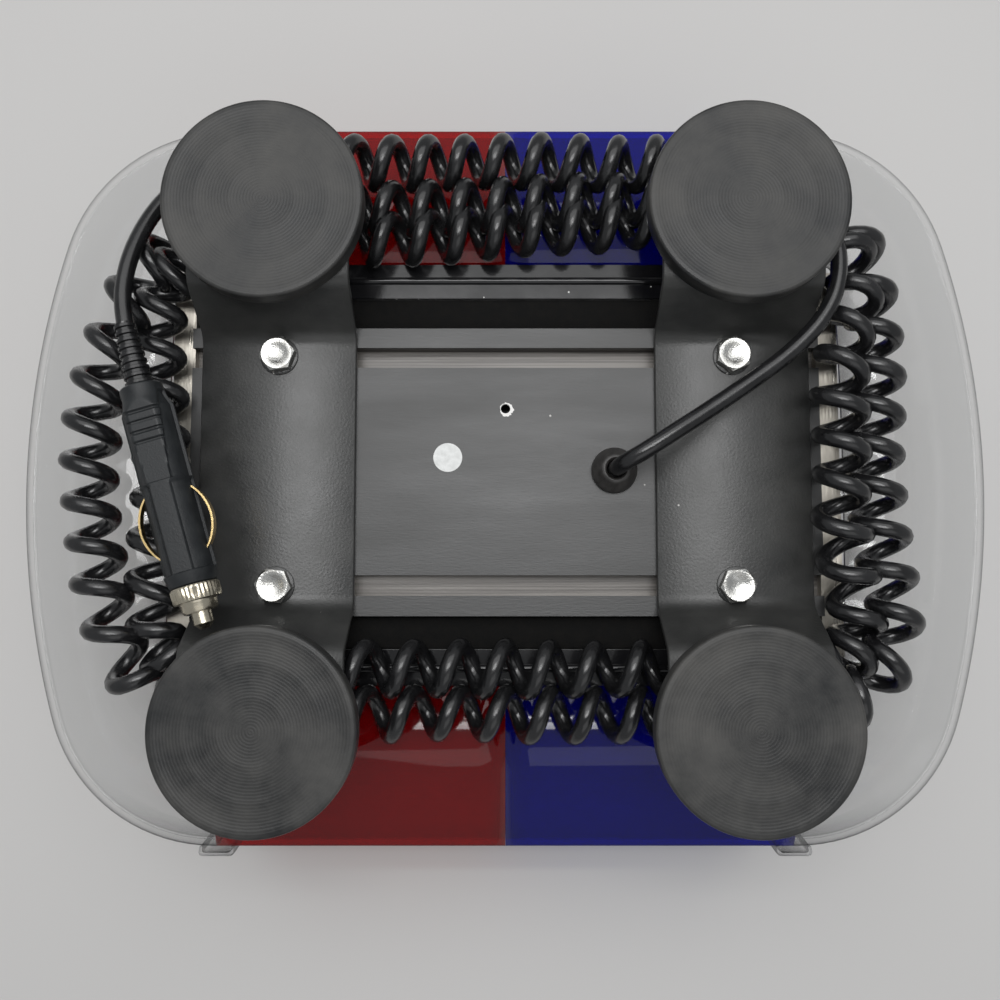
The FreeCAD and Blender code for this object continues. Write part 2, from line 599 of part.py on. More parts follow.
LEAD_ROUTE = [
    (45, 0, 31), (45, 0, 25), (47.5, -1.4, 19.5), (53.5, -4.6, 16), (64, -9, 15.5),
    (80, -17, 17), (98, -29.5, 18), (114, -44.5, 17.5), (128, -59, 16.5), (136, -74, 16),
    (134.5, -90, 16.5), (124, -101, 19.5), (109, -106, 24), (94, -106, 30), (80, -104, 33)]
FIRST_LAP = [
    (80, -104, 33), (56, -103, 33.5), (20, -101.5, 33.5), (-20, -97.5, 33.5), (-56, -95.5, 33.5),
    (-90, -97, 33.5), (-116, -96.5, 32), (-135.5, -86.5, 30), (-143, -64, 31), (-142, -38, 31.5),
    (-140, -12, 31.5), (-140.5, 16, 31.5), (-141.5, 42, 32), (-142, 63, 32), (-134.5, 80.5, 30.5),
    (-108, 83.5, 29.4), (-76, 81, 29.3), (-30, 80, 29.3), (18, 81, 29.3), (66, 80, 29.3),
    (104, 83.5, 29.4), (134.5, 82, 30.2), (142.5, 63, 31), (136.5, 41, 27), (132, 20, 22),
    (134, -8, 22), (133, -34, 23), (139, -56, 28), (145, -76, 30.5), (138, -98, 31.5),
    (120, -110, 33), (92, -112.5, 33.5)]
SECOND_LAP = [
    (92, -112.5, 33.5), (50, -113, 33.5), (4, -111, 33.5), (-44, -108, 33.5), (-88, -110, 33.5),
    (-120, -107, 33), (-144, -90, 32), (-159, -62, 32), (-168, -30, 32), (-170, 4, 32),
    (-165, 36, 31), (-159, 62, 29), (-146, 88, 28.5), (-116, 101, 33), (-70, 99.5, 33.5),
    (-24, 98, 33.5), (22, 99.5, 33.5), (68, 98.5, 33.5), (110, 101, 33), (143, 93, 29.5),
    (158, 66, 29.5), (152, 32, 32.5), (150, -4, 32.5), (152, -38, 32.5), (151, -72, 32.5),
    (142, -103, 32.5), (120, -124, 33), (90, -129, 34)]
THIRD_LAP = [
    (90, -129, 34), (50, -128, 34), (2, -130, 34), (-46, -128, 34), (-88, -130.5, 34),
    (-114, -127, 33)]
TAIL_ROUTE = [
    (-114, -127, 33), (-127, -124, 31), (-138.5, -112, 26), (-146, -97, 20.5),
    (-150.5, -79, 15), (-150.6, -59.3, 11), (-145.5, -42, 11)]

cord_tube("lead_cord", mm("cord_radius"), LEAD_ROUTE)
cord_tube("curly_cord_first_lap", mm("coil_radius"), FIRST_LAP)
cord_tube("curly_cord_second_lap", mm("coil_radius"), SECOND_LAP)
cord_tube("curly_cord_third_lap", mm("coil_radius"), THIRD_LAP)
cord_tube("tail_cord", mm("cord_radius"), TAIL_ROUTE)

# ---------------------------------------------------------------- 12 V plug

plug_way = Vector(math.cos(math.radians(mm("plug_heading"))),
                  math.sin(math.radians(mm("plug_heading"))), 0)
plug_across = Vector(-plug_way.y, plug_way.x, 0)
plug_frame = Placement(Vector(mm("plug_x"), mm("plug_y"), mm("plug_z")),
                       Rotation(plug_across, Vector(0, 0, 1), plug_way, "ZXY"))


def on_plug(name, piece):
    """Place a piece drawn about its own Z axis on the plug's axis."""
    piece.Placement = plug_frame
    return part(name, piece)


on_plug("plug_relief", turned_body("relief_turned", [
    ("0", "0"), ("@relief_tip_radius", "0"), ("@relief_radius", "@relief_length"),
    ("@relief_radius", "@plug_collar + 3"), ("0", "@plug_collar + 3")]))

half_outline = [
    ("@relief_radius", "@relief_length"), ("@plug_neck_radius", "@relief_length"),
    ("@plug_neck_radius", "@plug_collar"), ("@plug_radius", "@plug_collar + 6"),
    ("@plug_radius", "@plug_body_end - 8"), ("@plug_radius - 1.4", "@plug_body_end"),
    ("@pin_radius + @pin_clearance", "@plug_body_end"),
    ("@pin_radius + @pin_clearance", "@plug_body_end - 2"), ("@plug_bore", "@plug_body_end - 2"),
    ("@plug_bore", "@plug_collar + 3"), ("@relief_radius", "@plug_collar + 3")]
screw_seat = "1 - @plug_bore"
for half, reverse in (("upper", False), ("lower", True)):
    shell = turned_body(f"plug_{half}_turned", half_outline, 180, reverse)
    slot = doc.addObject("Part::Box", f"plug_{half}_contact_slot")
    bind(slot, Length="4 * @plug_radius", Width="@contact_width + 1",
         Height="@contact_to - @contact_from + 2")
    place(slot, "-2 * @plug_radius", "-(@contact_width + 1) / 2", "@contact_from - 1")
    opened = cut(f"plug_{half}_slotted", shell, slot)
    if half == "lower":
        recess = cylinder("plug_screw_recess", "@screw_well_radius", "@plug_radius", "0",
                          screw_seat, "@screw_at",
                          Rotation(Vector(1, 0, 0), 90))
        opened = cut("plug_lower_recessed", opened, recess)
    on_plug(f"plug_body_{half}", opened)

screw = cylinder("plug_screw_turned", "@screw_radius", "@screw_head", "0", screw_seat,
                 "@screw_at", Rotation(Vector(1, 0, 0), 90))
screw_holder = fuse("plug_screw_piece", [screw, cylinder(
    "plug_screw_shank", "@screw_shank", "2 * @plug_bore - 1", "0", "@plug_bore - 1", "@screw_at",
    Rotation(Vector(1, 0, 0), 90))])
on_plug("plug_screw", screw_holder)

on_plug("plug_ring", turned_body("plug_ring_turned", [
    ("@pin_radius + @pin_clearance", "@plug_body_end"), ("@plug_ring_radius", "@plug_body_end"),
    ("@plug_ring_radius", "@plug_ring_end"), ("@plug_hex_radius", "@plug_ring_end"),
    ("@plug_hex_radius - 1", "@plug_hex_end"),
    ("@pin_radius + @pin_clearance", "@plug_hex_end")]))
on_plug("plug_pin", turned_body("plug_pin_turned", [
    ("0", "@plug_body_end - 5"), ("@pin_head_radius", "@plug_body_end - 5"),
    ("@pin_head_radius", "@plug_body_end - 2.2"), ("@pin_radius", "@plug_body_end - 2.2"),
    ("@pin_radius", "@plug_length - 2"), ("@pin_radius - 2", "@plug_length"),
    ("0", "@plug_length")]))
on_plug("plug_spring", turned_body("plug_spring_turned", [
    ("@spring_in", "@spring_from"), ("@spring_out", "@spring_from"),
    ("@spring_out", "@spring_to"), ("@spring_in", "@spring_to")]))
on_plug("plug_fuse", turned_body("plug_fuse_turned", [
    ("0", "@fuse_from"), ("@fuse_radius", "@fuse_from"), ("@fuse_radius", "@fuse_to"),
    ("0", "@fuse_to")]))

for side, sign in SIDES.items():
    contact_mid = (mm("contact_from") + mm("contact_to")) / 2
    foot_radius = mm("plug_bore - contact_foot")
    bow_radius = mm("plug_radius") + mm("contact_bow")
    thick, half_width = mm("contact_thick"), mm("contact_width") / 2

    def bow(inset):
        """The contact's curved line, moved towards the plug's axis by inset."""
        low = Vector(sign * (foot_radius - inset), 0, mm("contact_from"))
        top = Vector(sign * (bow_radius - inset), 0, contact_mid)
        high = Vector(sign * (foot_radius - inset), 0, mm("contact_to"))
        return Part.Arc(low, top, high).toShape(), low, high

    outer, outer_low, outer_high = bow(0)
    inner, inner_low, inner_high = bow(thick)
    strip = Part.Face(Part.Wire([outer, Part.LineSegment(outer_high, inner_high).toShape(),
                                 inner, Part.LineSegment(inner_low, outer_low).toShape()]))
    strip.translate(Vector(0, -half_width, 0))
    contact = feature(f"plug_contact_{side}_strip", strip.extrude(Vector(0, 2 * half_width, 0)))
    on_plug(f"plug_contact_{side}", contact)

# ---------------------------------------------------------------- check and write

doc.recompute()
for item in doc.Objects:
    if "Invalid" in item.State or "Error" in item.State:
        raise RuntimeError(f"{item.Label} failed: {item.State}")
for item in PARTS:
    if item.Shape.isNull() or not item.Shape.isValid():
        raise RuntimeError(f"{item.Label} has no valid shape")
    if not item.Shape.Solids:
        raise RuntimeError(f"{item.Label} has no solid")
for item in PARTS:
    item.Shape.exportStep(os.path.join("parts", item.Label + ".step"))
print(len(PARTS), "parts written")
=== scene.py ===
import math

import bmesh
import bpy
from mathutils import Matrix, Vector


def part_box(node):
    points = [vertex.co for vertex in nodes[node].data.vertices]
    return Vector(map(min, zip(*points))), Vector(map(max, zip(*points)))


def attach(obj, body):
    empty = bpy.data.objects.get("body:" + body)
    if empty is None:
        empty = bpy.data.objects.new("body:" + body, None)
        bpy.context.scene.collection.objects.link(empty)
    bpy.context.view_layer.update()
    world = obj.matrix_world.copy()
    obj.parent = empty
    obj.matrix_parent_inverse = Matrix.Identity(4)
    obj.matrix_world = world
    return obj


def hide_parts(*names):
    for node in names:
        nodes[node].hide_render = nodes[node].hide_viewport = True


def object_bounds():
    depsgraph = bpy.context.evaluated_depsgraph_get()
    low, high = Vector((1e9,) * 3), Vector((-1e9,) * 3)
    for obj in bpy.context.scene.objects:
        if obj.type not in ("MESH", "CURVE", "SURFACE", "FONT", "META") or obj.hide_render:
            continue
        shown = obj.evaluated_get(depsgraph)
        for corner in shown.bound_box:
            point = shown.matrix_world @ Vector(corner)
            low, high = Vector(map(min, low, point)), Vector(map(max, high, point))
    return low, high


# Magnetic warning light bar: its looks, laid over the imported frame. Metres, +Z up in use, and the
# magnets stand on z = 0. Front is -Y, left is -X.

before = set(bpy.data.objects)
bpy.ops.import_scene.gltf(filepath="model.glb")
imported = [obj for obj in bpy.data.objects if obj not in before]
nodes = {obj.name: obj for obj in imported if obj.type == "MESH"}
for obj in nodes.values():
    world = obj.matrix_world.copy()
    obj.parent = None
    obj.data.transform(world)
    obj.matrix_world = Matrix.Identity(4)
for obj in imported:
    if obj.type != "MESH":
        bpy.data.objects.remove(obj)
packed_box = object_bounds()

# ---------------------------------------------------------------- the studio
# A pale floor under the magnets, and a pale table that the bar's top lies on when it is turned over.
# Each shows from its own side only, so that the bar can be looked at from all round. Two long strips,
# a broad soft window and a weak fill light it from below, and two soft lamps from above.

PALE_PAPER = (0.6, 0.59, 0.58, 1)
FLOOR_DROP, TABLE_GAP = 0.0004, 0.001


def put(tree, kind, settings=None, **inputs):
    """A new shader node of this kind. settings are its own properties. An input, by name or as _1 for
    its place, gets a number or colour, or is joined to another node's output."""
    node = tree.nodes.new("ShaderNode" + kind)
    for name, value in (settings or {}).items():
        setattr(node, name, value)
    for name, given in inputs.items():
        socket = node.inputs[int(name[1:]) if name[0] == "_" else name.replace("_", " ")]
        if isinstance(given, bpy.types.NodeSocket):
            tree.links.new(given, socket)
        else:
            socket.default_value = given
    return node


def pale_sheet(name, height, half, faces_down):
    mesh = bpy.data.meshes.new(name)
    corners = [(-half, -half, height), (half, -half, height), (half, half, height),
               (-half, half, height)]
    mesh.from_pydata(corners[::-1] if faces_down else corners, [], [(0, 1, 2, 3)])
    sheet = bpy.data.objects.new(name, mesh)
    bpy.context.scene.collection.objects.link(sheet)
    paper = bpy.data.materials.new(name + "_paper")
    paper.use_nodes = True
    tree = paper.node_tree
    tree.nodes.clear()
    side = put(tree, "NewGeometry")
    matte = put(tree, "BsdfDiffuse", Color=PALE_PAPER)
    through = put(tree, "BsdfTransparent")
    either = put(tree, "MixShader", _0=side.outputs["Backfacing"], _1=matte.outputs[0],
                 _2=through.outputs[0])
    put(tree, "OutputMaterial", Surface=either.outputs[0])
    mesh.materials.append(paper)
    return sheet


floor = pale_sheet("floor", -FLOOR_DROP, 4, faces_down=False)
table_top = pale_sheet("table_top", packed_box[1].z + TABLE_GAP, 1.2, faces_down=True)
floor.visible_shadow = floor.visible_diffuse = floor.visible_glossy = False
table_top.visible_shadow = False

world = bpy.data.worlds.new("studio_air")
bpy.context.scene.world = world
world.use_nodes = True
air = world.node_tree.nodes["Background"]
air.inputs["Color"].default_value = (0.86, 0.88, 0.9, 1)
air.inputs["Strength"].default_value = 0.4


def soft_lamp(name, place, width, length, power, aim=(0, 0, 0.06)):
    """A rectangular soft lamp that points at the bar's middle."""
    light = bpy.data.lights.new(name, "AREA")
    light.shape = "RECTANGLE"
    light.size, light.size_y, light.energy = width, length, power
    holder = bpy.data.objects.new(name, light)
    holder.location = place
    holder.rotation_euler = (Vector(aim) - Vector(place)).to_track_quat("-Z", "Y").to_euler()
    bpy.context.scene.collection.objects.link(holder)


soft_lamp("under_strip_near", (0, -0.06, -0.92), 0.6, 0.18, 2.3)
soft_lamp("under_strip_far", (0, -0.27, -0.92), 0.55, 0.05, 1.0)
soft_lamp("under_window", (0, -0.5, -0.95), 1.5, 0.9, 6.5)
soft_lamp("under_fill", (0.25, 0.75, -0.8), 0.9, 0.7, 1.2)
soft_lamp("over_lamp", (-0.5, -0.65, 0.95), 0.6, 0.6, 7, aim=(0, 0, 0.05))
soft_lamp("over_fill", (0.7, 0.5, 0.8), 0.9, 0.9, 3.5, aim=(0, 0, 0.05))

# The camera stands below the bar, a little behind its middle, and looks up at the underside.
eye = bpy.data.cameras.new("eye")
eye.sensor_width, eye.lens, eye.clip_start = 36, 36, 0.02
camera = bpy.data.objects.new("eye", eye)
looks_along, up = Vector((0, -0.0802, 0.9968)), Vector((0, -0.9968, -0.0802))
camera.matrix_world = Matrix.LocRotScale(
    Vector((-0.0023, 0.0454, -0.3726)),
    Matrix((looks_along.cross(up), up, -looks_along)).transposed(), None)
bpy.context.scene.collection.objects.link(camera)
bpy.context.scene.camera = camera
bpy.context.scene.view_settings.view_transform = "Standard"

# ---------------------------------------------------------------- the cord
# Black flexible PVC lead with a curly middle, wound on a rod and set by heat. It leaves the gland,
# dips under the right bracket, and is put away in laps round the four legs until it meets the plug.

CORD_ACROSS = 0.0068
CURL_RADIUS = 0.0086
POINTS_A_TURN = 26
MOST_TURNS_A_STEP = 3
LEAD = [
    (.045, 0, .031), (.045, 0, .025), (.0475, -.0014, .0195), (.0535, -.0046, .016),
    (.064, -.0113, .0155), (.08, -.0216, .017), (.098, -.0337, .0175), (.1135, -.045, .0175),
    (.1262, -.0583, .0165), (.1325, -.0725, .016), (.1325, -.09, .0165), (.124, -.101, .0195),
    (.109, -.106, .024), (.094, -.106, .03)]
LAPS = [
    (.08, -.104, .033), (.056, -.103, .0335), (.02, -.1015, .0335), (-.02, -.0975, .0335),
    (-.056, -.0955, .0335), (-.09, -.097, .0335), (-.116, -.0965, .032), (-.1355, -.0865, .03),
    (-.143, -.064, .031), (-.142, -.038, .0315), (-.14, -.012, .0315), (-.1405, .016, .0315),
    (-.1415, .042, .032), (-.142, .063, .032), (-.1345, .0805, .0305), (-.108, .0835, .0294),
    (-.076, .081, .0293), (-.03, .08, .0293), (.018, .081, .0293), (.066, .08, .0293),
    (.104, .0835, .0294), (.1345, .082, .0302), (.1425, .063, .031), (.1365, .041, .027),
    (.132, .02, .022), (.134, -.008, .022), (.133, -.034, .023), (.139, -.056, .028),
    (.145, -.076, .0305), (.138, -.098, .0315), (.12, -.11, .033), (.092, -.1125, .0335),
    (.05, -.113, .0335), (.004, -.111, .0335), (-.044, -.108, .0335), (-.088, -.11, .0335),
    (-.12, -.107, .033), (-.144, -.09, .032), (-.159, -.062, .032), (-.168, -.03, .032),
    (-.17, .004, .032), (-.165, .036, .031), (-.159, .062, .029), (-.146, .088, .0285),
    (-.116, .101, .033), (-.07, .0995, .0335), (-.024, .098, .0335), (.022, .0995, .0335),
    (.068, .0985, .0335), (.11, .101, .033), (.143, .093, .0295), (.158, .066, .0295),
    (.152, .032, .0325), (.15, -.004, .0325), (.152, -.038, .0325), (.151, -.072, .0325),
    (.142, -.103, .0325), (.12, -.124, .033), (.09, -.129, .034), (.05, -.128, .034),
    (.002, -.13, .034), (-.046, -.128, .034), (-.088, -.1305, .034)]
TAIL = [
    (-.114, -.127, .033), (-.127, -.124, .031), (-.1385, -.112, .026), (-.146, -.097, .0205),
    (-.1505, -.079, .015), (-.1506, -.0593, .011), (-.1455, -.042, .011)]

line = bpy.data.curves.new("cord_route", "CURVE")
line.dimensions = "3D"
line.resolution_u = 24
run = line.splines.new("NURBS")
run.points.add(len(LEAD + LAPS + TAIL) - 1)
for control, place in zip(run.points, LEAD + LAPS + TAIL):
    control.co = (*place, 1)
run.order_u = 3
run.use_endpoint_u = True
route = [v.co.copy() for v in bpy.data.meshes.new_from_object(
    bpy.data.objects.new("cord_route", line)).vertices]


def nearest(place):
    return min(range(len(route)), key=lambda i: (route[i] - Vector(place)).length)


def eased_step(low, high, x):
    share = min(max((x - low) / (high - low), 0), 1)
    return share * share * (3 - 2 * share)


# The curls are counted round one mean lap, so that neighbouring laps mesh into each other: 14 turns
# along the front, 12 along the rear, 7.5 along each end and 3.5 round each corner.
LAP_X, LAP_Y, QUARTER = 0.11, 0.062, math.pi / 2
TURNS = [14, 3.5, 7.5, 3.5, 12, 3.5, 7.5, 3.5]
CORNER_LEGS = {(False, False): 1, (False, True): 3, (True, True): 5, (True, False): 7}


def turns_at(place):
    """How many turns of the curl lie between the front right corner and this place on a lap."""
    x, y = place.x, place.y
    beyond_x, beyond_y = abs(x) - LAP_X, abs(y) - LAP_Y
    if beyond_x > 0 and beyond_y > 0:
        angle = math.atan2(beyond_y, beyond_x) / QUARTER
        leg = CORNER_LEGS[(x >= 0, y >= 0)]
        share = 1 - angle if leg in (1, 5) else angle
    elif beyond_y > beyond_x:
        leg, share = (0, (LAP_X - x) / (2 * LAP_X)) if y < 0 else (4, (x + LAP_X) / (2 * LAP_X))
    else:
        leg, share = (2, (y + LAP_Y) / (2 * LAP_Y)) if x < 0 else (6, (LAP_Y - y) / (2 * LAP_Y))
    return sum(TURNS[:leg]) + TURNS[leg] * share


travelled = [0.0]
for here, there in zip(route, route[1:]):
    travelled.append(travelled[-1] + (there - here).length)
curl_from, curl_to = travelled[nearest(LAPS[0])], travelled[nearest(TAIL[0])]

# The wire winds up over a few centimetres at each end of the curl. Beside the plug, the first lap's
# curls are squeezed to 0.72 of their height: PLUG_SIDE is where in X, PLUG_REACH how far along.
WIND_OUT, WIND_IN, WIND_TAIL = 0.02, 0.035, 0.015
PLUG_SIDE, PLUG_REACH, SQUEEZE = (-0.128, -0.118), (0.3, 0.34, 0.62, 0.66), 0.28
wire, turned_so_far = [], 0.0
for index in range(len(route) - 1):
    here, there = route[index], route[index + 1]
    ahead = (there - here).normalized()
    inward = ahead.cross(Vector((0, 0, 1))).normalized()
    upward = inward.cross(ahead)
    gain = (turns_at(there) - turns_at(here)) % sum(TURNS)
    gain = gain if gain < MOST_TURNS_A_STEP else 0.0
    distance = travelled[index]
    curled = (eased_step(curl_from - WIND_OUT, curl_from + WIND_IN, distance)
              * (1 - eased_step(curl_to - WIND_IN, curl_to + WIND_TAIL, distance)))
    pieces_here = max(1, round(gain * POINTS_A_TURN)) if curled > 0 else 1
    for step in range(pieces_here):
        share = step / pieces_here
        turn = turned_so_far + gain * share
        at = here.lerp(there, share)
        over_plug = ((1 - eased_step(*PLUG_SIDE, at.x)) * eased_step(*PLUG_REACH[:2], distance)
                     * (1 - eased_step(*PLUG_REACH[2:], distance)))
        loose = 1 + 0.035 * math.sin(1.7 * turn) + 0.03 * math.sin(0.63 * turn + 1)
        angle = 2 * math.pi * turn + 0.22 * math.sin(0.9 * turn) + math.pi
        wire.append(at + inward * (curled * CURL_RADIUS * loose * math.cos(angle))
                    + upward * (curled * CURL_RADIUS * (1 - SQUEEZE * over_plug) * math.sin(angle)))
    turned_so_far += gain
wire.append(route[-1])


def skin(name, rows, loop=False, capped=False, sharp=40, keep_open=False):
    """A mesh over rows of points, each row as long as the next, facing outwards."""
    count = len(rows[0])
    mesh = bpy.data.meshes.new(name)
    faces = []
    for row in range(len(rows) - 1):
        for place in range(count if loop else count - 1):
            a, b = row * count + place, row * count + (place + 1) % count
            faces.append((a, b, b + count, a + count))
    if capped:
        faces += [tuple(range(count)), tuple(range((len(rows) - 1) * count, len(rows) * count))]
    mesh.from_pydata([tuple(point) for row in rows for point in row], [], faces)
    work = bmesh.new()
    work.from_mesh(mesh)
    bmesh.ops.remove_doubles(work, verts=work.verts, dist=1e-6)
    bmesh.ops.dissolve_degenerate(work, edges=work.edges, dist=1e-7)
    bmesh.ops.recalc_face_normals(work, faces=work.faces)
    if keep_open:
        middle = sum((v.co for v in work.verts), Vector()) / len(work.verts)
        if sum(f.normal.dot(f.calc_center_median() - middle) * f.calc_area()
               for f in work.faces) < 0:
            bmesh.ops.reverse_faces(work, faces=work.faces)
    work.to_mesh(mesh)
    work.free()
    mesh.shade_smooth()
    mesh.set_sharp_from_angle(angle=math.radians(sharp))
    piece = bpy.data.objects.new(name, mesh)
    bpy.context.scene.collection.objects.link(piece)
    return piece


def tube(name, path, radius, count=12):
    """A round tube along a path, carried from point to point without twisting."""
    rows = []
    across = Vector((0, 0, 1)).cross(path[1] - path[0])
    across = across if across.length > 1e-9 else Vector((1, 0, 0))
    for index, point in enumerate(path):
        way = (path[min(index + 1, len(path) - 1)] - path[max(index - 1, 0)]).normalized()
        across = (across - way * across.dot(way)).normalized()
        up_way = way.cross(across)
        rows.append([point + across * (radius * math.cos(2 * math.pi * k / count))
                     + up_way * (radius * math.sin(2 * math.pi * k / count))
                     for k in range(count)])
    return skin(name, rows, loop=True, capped=True)


def ramp(tree, through, low, high, first, last):
    """The first colour runs into the last as through goes from low to high."""
    node = put(tree, "ValToRGB", Fac=through)
    for stop, at, colour in zip(node.color_ramp.elements, (low, high), (first, last)):
        stop.position, stop.color = at, (*colour, 1)
    return node.outputs[0]


def place_on(tree):
    """The finish's coordinates, which are the piece's own, made once for each finish."""
    found = [node for node in tree.nodes if node.type == "TEX_COORD"]
    return (found[0] if found else put(tree, "TexCoord")).outputs["Object"]


def laid_over(material, share, colour):
    """Lay a colour over a finish by share, an output that runs from 0 to 1."""
    tree = material.node_tree
    base = tree.nodes["Principled BSDF"].inputs["Base Color"]
    over = put(tree, "Mix", {"data_type": "RGBA"}, Factor=share, _6=base.links[0].from_socket,
               _7=colour)
    tree.links.new(over.outputs[2], base)


def surfaced(name, fresh, aged, grain, gloss, relief=0.0, fine=9.0, stretch=(1, 1, 1), **sockets):
    """A finish whose colour drifts between fresh and aged patches, with its shine broken up the same
    way and a fine relief. The rest are plain numbers on the shader's own sockets."""
    material = bpy.data.materials.new(name)
    material.use_nodes = True
    tree = material.node_tree
    shader = tree.nodes["Principled BSDF"]
    lay = put(tree, "Mapping", Vector=place_on(tree), Scale=stretch)
    patches = put(tree, "TexNoise", Vector=lay.outputs[0], Scale=grain, Detail=7, Roughness=0.62)
    tree.links.new(ramp(tree, patches.outputs[0], 0.34, 0.7, fresh, aged),
                   shader.inputs["Base Color"])
    shine = put(tree, "MapRange", _0=patches.outputs[0], From_Min=0.3, From_Max=0.7,
                To_Min=gloss[0], To_Max=gloss[1])
    tree.links.new(shine.outputs[0], shader.inputs["Roughness"])
    if relief:
        grit = put(tree, "TexNoise", Vector=lay.outputs[0], Scale=grain * fine, Detail=3)
        raised = put(tree, "Bump", Strength=relief, Distance=0.0004, Height=grit.outputs[0])
        tree.links.new(raised.outputs[0], shader.inputs["Normal"])
    for socket, number in sockets.items():
        shader.inputs[socket.replace("_", " ")].default_value = number
    return material


def dusted(material, spacing, speck, colour=(0.45, 0.44, 0.42)):
    """Scatter pale specks of dust and lint over a finish, about one in four cells of the spacing."""
    tree = material.node_tree
    cells = put(tree, "TexVoronoi", Vector=place_on(tree), Scale=1 / spacing)
    close = put(tree, "Math", {"operation": "LESS_THAN"}, _0=cells.outputs["Distance"],
                _1=speck / spacing)
    draw = put(tree, "SeparateColor", _0=cells.outputs["Color"])
    some = put(tree, "Math", {"operation": "GREATER_THAN"}, _0=draw.outputs[0], _1=0.72)
    share = put(tree, "Math", {"operation": "MULTIPLY"}, _0=close.outputs[0], _1=some.outputs[0])
    laid_over(material, share.outputs[0], (*colour, 1))
    return material


def coat_with(piece, material):
    """Give a piece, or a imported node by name, its finish."""
    piece = nodes[piece] if isinstance(piece, str) else piece
    piece.data.materials.clear()
    piece.data.materials.append(material)
    return piece


cord_skin = surfaced("cord_skin", (0.006, 0.006, 0.0065), (0.014, 0.014, 0.015), 120, (0.16, 0.3),
                     relief=0.08, Specular_IOR_Level=0.6)
cord = tube("cord", wire, CORD_ACROSS / 2)
coat_with(cord, cord_skin)
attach(cord, "housing")
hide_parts("lead_cord", "curly_cord_first_lap", "curly_cord_second_lap",
            "curly_cord_third_lap", "tail_cord")

# ---------------------------------------------------------------- the plug
# 12 V plug moulded in two satin black halves round a screw, with a ribbed relief on the cord, two
# sprung side contacts, a nickelled nose ring that unscrews for the fuse, and a sprung centre pin.

PLUG_HEADING = math.radians(73.6)
PLUG_WAY = Vector((math.cos(PLUG_HEADING), math.sin(PLUG_HEADING), 0))
PLUG_PLACE = Matrix((Vector((-PLUG_WAY.y, PLUG_WAY.x, 0)), Vector((0, 0, 1)), PLUG_WAY)
                    ).transposed().to_4x4()
PLUG_PLACE.translation = TAIL[-1]


def turned(name, outline, count=64, sharp=35, shape=None):
    """A piece turned about its own Z axis from (radius, height) pairs, both in millimetres. shape
    may change the radius with the angle."""
    rows = []
    for radius, height in outline:
        row = []
        for k in range(count):
            angle = 2 * math.pi * k / count
            reach = shape(radius, height, angle) if shape else radius
            row.append(Vector((reach * math.cos(angle), reach * math.sin(angle), height)) / 1000)
        rows.append(row)
    return skin(name, rows, loop=True, sharp=sharp)


def on_plug(piece, body="housing"):
    piece.matrix_world = PLUG_PLACE
    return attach(piece, body)


# The plug's body in millimetres, from its cord end: where the tapering pad starts, where the pad gives
# way to the bar, and where the bar ends. Grooves are cut across the pad for the fingers.
PLUG_RADIUS, PAD_START, BAR_START, BAR_END = 10.3, 17, 52, 88
GRIP_GROOVES = (24, 28, 32, 36)
PAD_FLAT = 8.9
BODY_STEP = 0.35


def grip_shape(radius, height, angle):
    """The body's section: a flat pad with four grip grooves, then a flat bar with a groove and a thin
    rib beside it."""
    if radius < 5:
        return radius
    off = (angle + math.pi / 2 + math.pi) % (2 * math.pi) - math.pi
    across = radius * math.sin(off)
    if not PAD_START < height < BAR_END or abs(off) > math.radians(88):
        return radius
    flat = PAD_FLAT / max(math.cos(off), 0.05)
    if height < BAR_START:
        pad_half = 7.2 - 2.2 * eased_step(24, BAR_START, height)
        on_pad = 1 - eased_step(pad_half - 0.4, pad_half + 0.4, abs(across))
        grooves = sum(1 - eased_step(0.35, 0.75, abs(height - line)) for line in GRIP_GROOVES)
        return min(radius, flat) * on_pad + (radius - 1.0) * (1 - on_pad) - 0.8 * grooves * on_pad
    lowered = eased_step(BAR_START, BAR_START + 2, height)
    bar = 1 - eased_step(3.9, 4.5, abs(across))
    beside = 1 - eased_step(0.5, 0.9, abs(across - 5.6))
    return (min(radius, flat + 0.5) * bar + (radius - 0.9 * lowered) * (1 - bar)
            - 1.3 * beside * lowered)


body_line = [(5.2, 13), (7.6, 13), (8.2, 13.6), (8.3, 16.4), (8.5, 17.4)]
body_line += [(8.5 + 1.8 * eased_step(17.4, 24, h), h) for h in (18.4, 19.4, 20.4, 21.4, 22.4)]
body_line += [(PLUG_RADIUS, 22.8 + BODY_STEP * k) for k in range(int((BAR_END - 22.8) / BODY_STEP))]
body_line += [(10.2, 88), (9.6, 90.4), (9.0, 92.4), (8.4, 92.9), (4.2, 92.9)]
body = turned("plug_body", body_line, count=120, sharp=30, shape=grip_shape)
on_plug(body)
plug_plastic = surfaced("plug_plastic", (0.012, 0.0135, 0.015), (0.02, 0.0225, 0.024), 160,
                        (0.36, 0.52), relief=0.2, Specular_IOR_Level=0.38)
coat_with(body, plug_plastic)
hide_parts("plug_body_upper", "plug_body_lower")

RIBS, RIB_PITCH, RIB_GROWTH = 9, 2.9, 0.17
rib_line = [(0, -13), (3.5, -13)]
for rib in range(RIBS):
    start, size = -12.4 + rib * RIB_PITCH, 4.15 + rib * RIB_GROWTH
    rib_line += [(size - 0.75, start), (size, start + 0.35), (size + 0.05, start + 1.4),
                 (size - 0.65, start + 1.8)]
rib_line += [(5.5, 13.4), (5.4, 18), (0, 18)]
relief = turned("plug_ribbed_relief", rib_line, count=40)
on_plug(relief)
coat_with(relief, cord_skin)
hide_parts("plug_relief")

nickel = surfaced("nickel_plate", (0.62, 0.57, 0.46), (0.5, 0.45, 0.35), 210, (0.16, 0.34),
                  relief=0.12, Metallic=1.0)


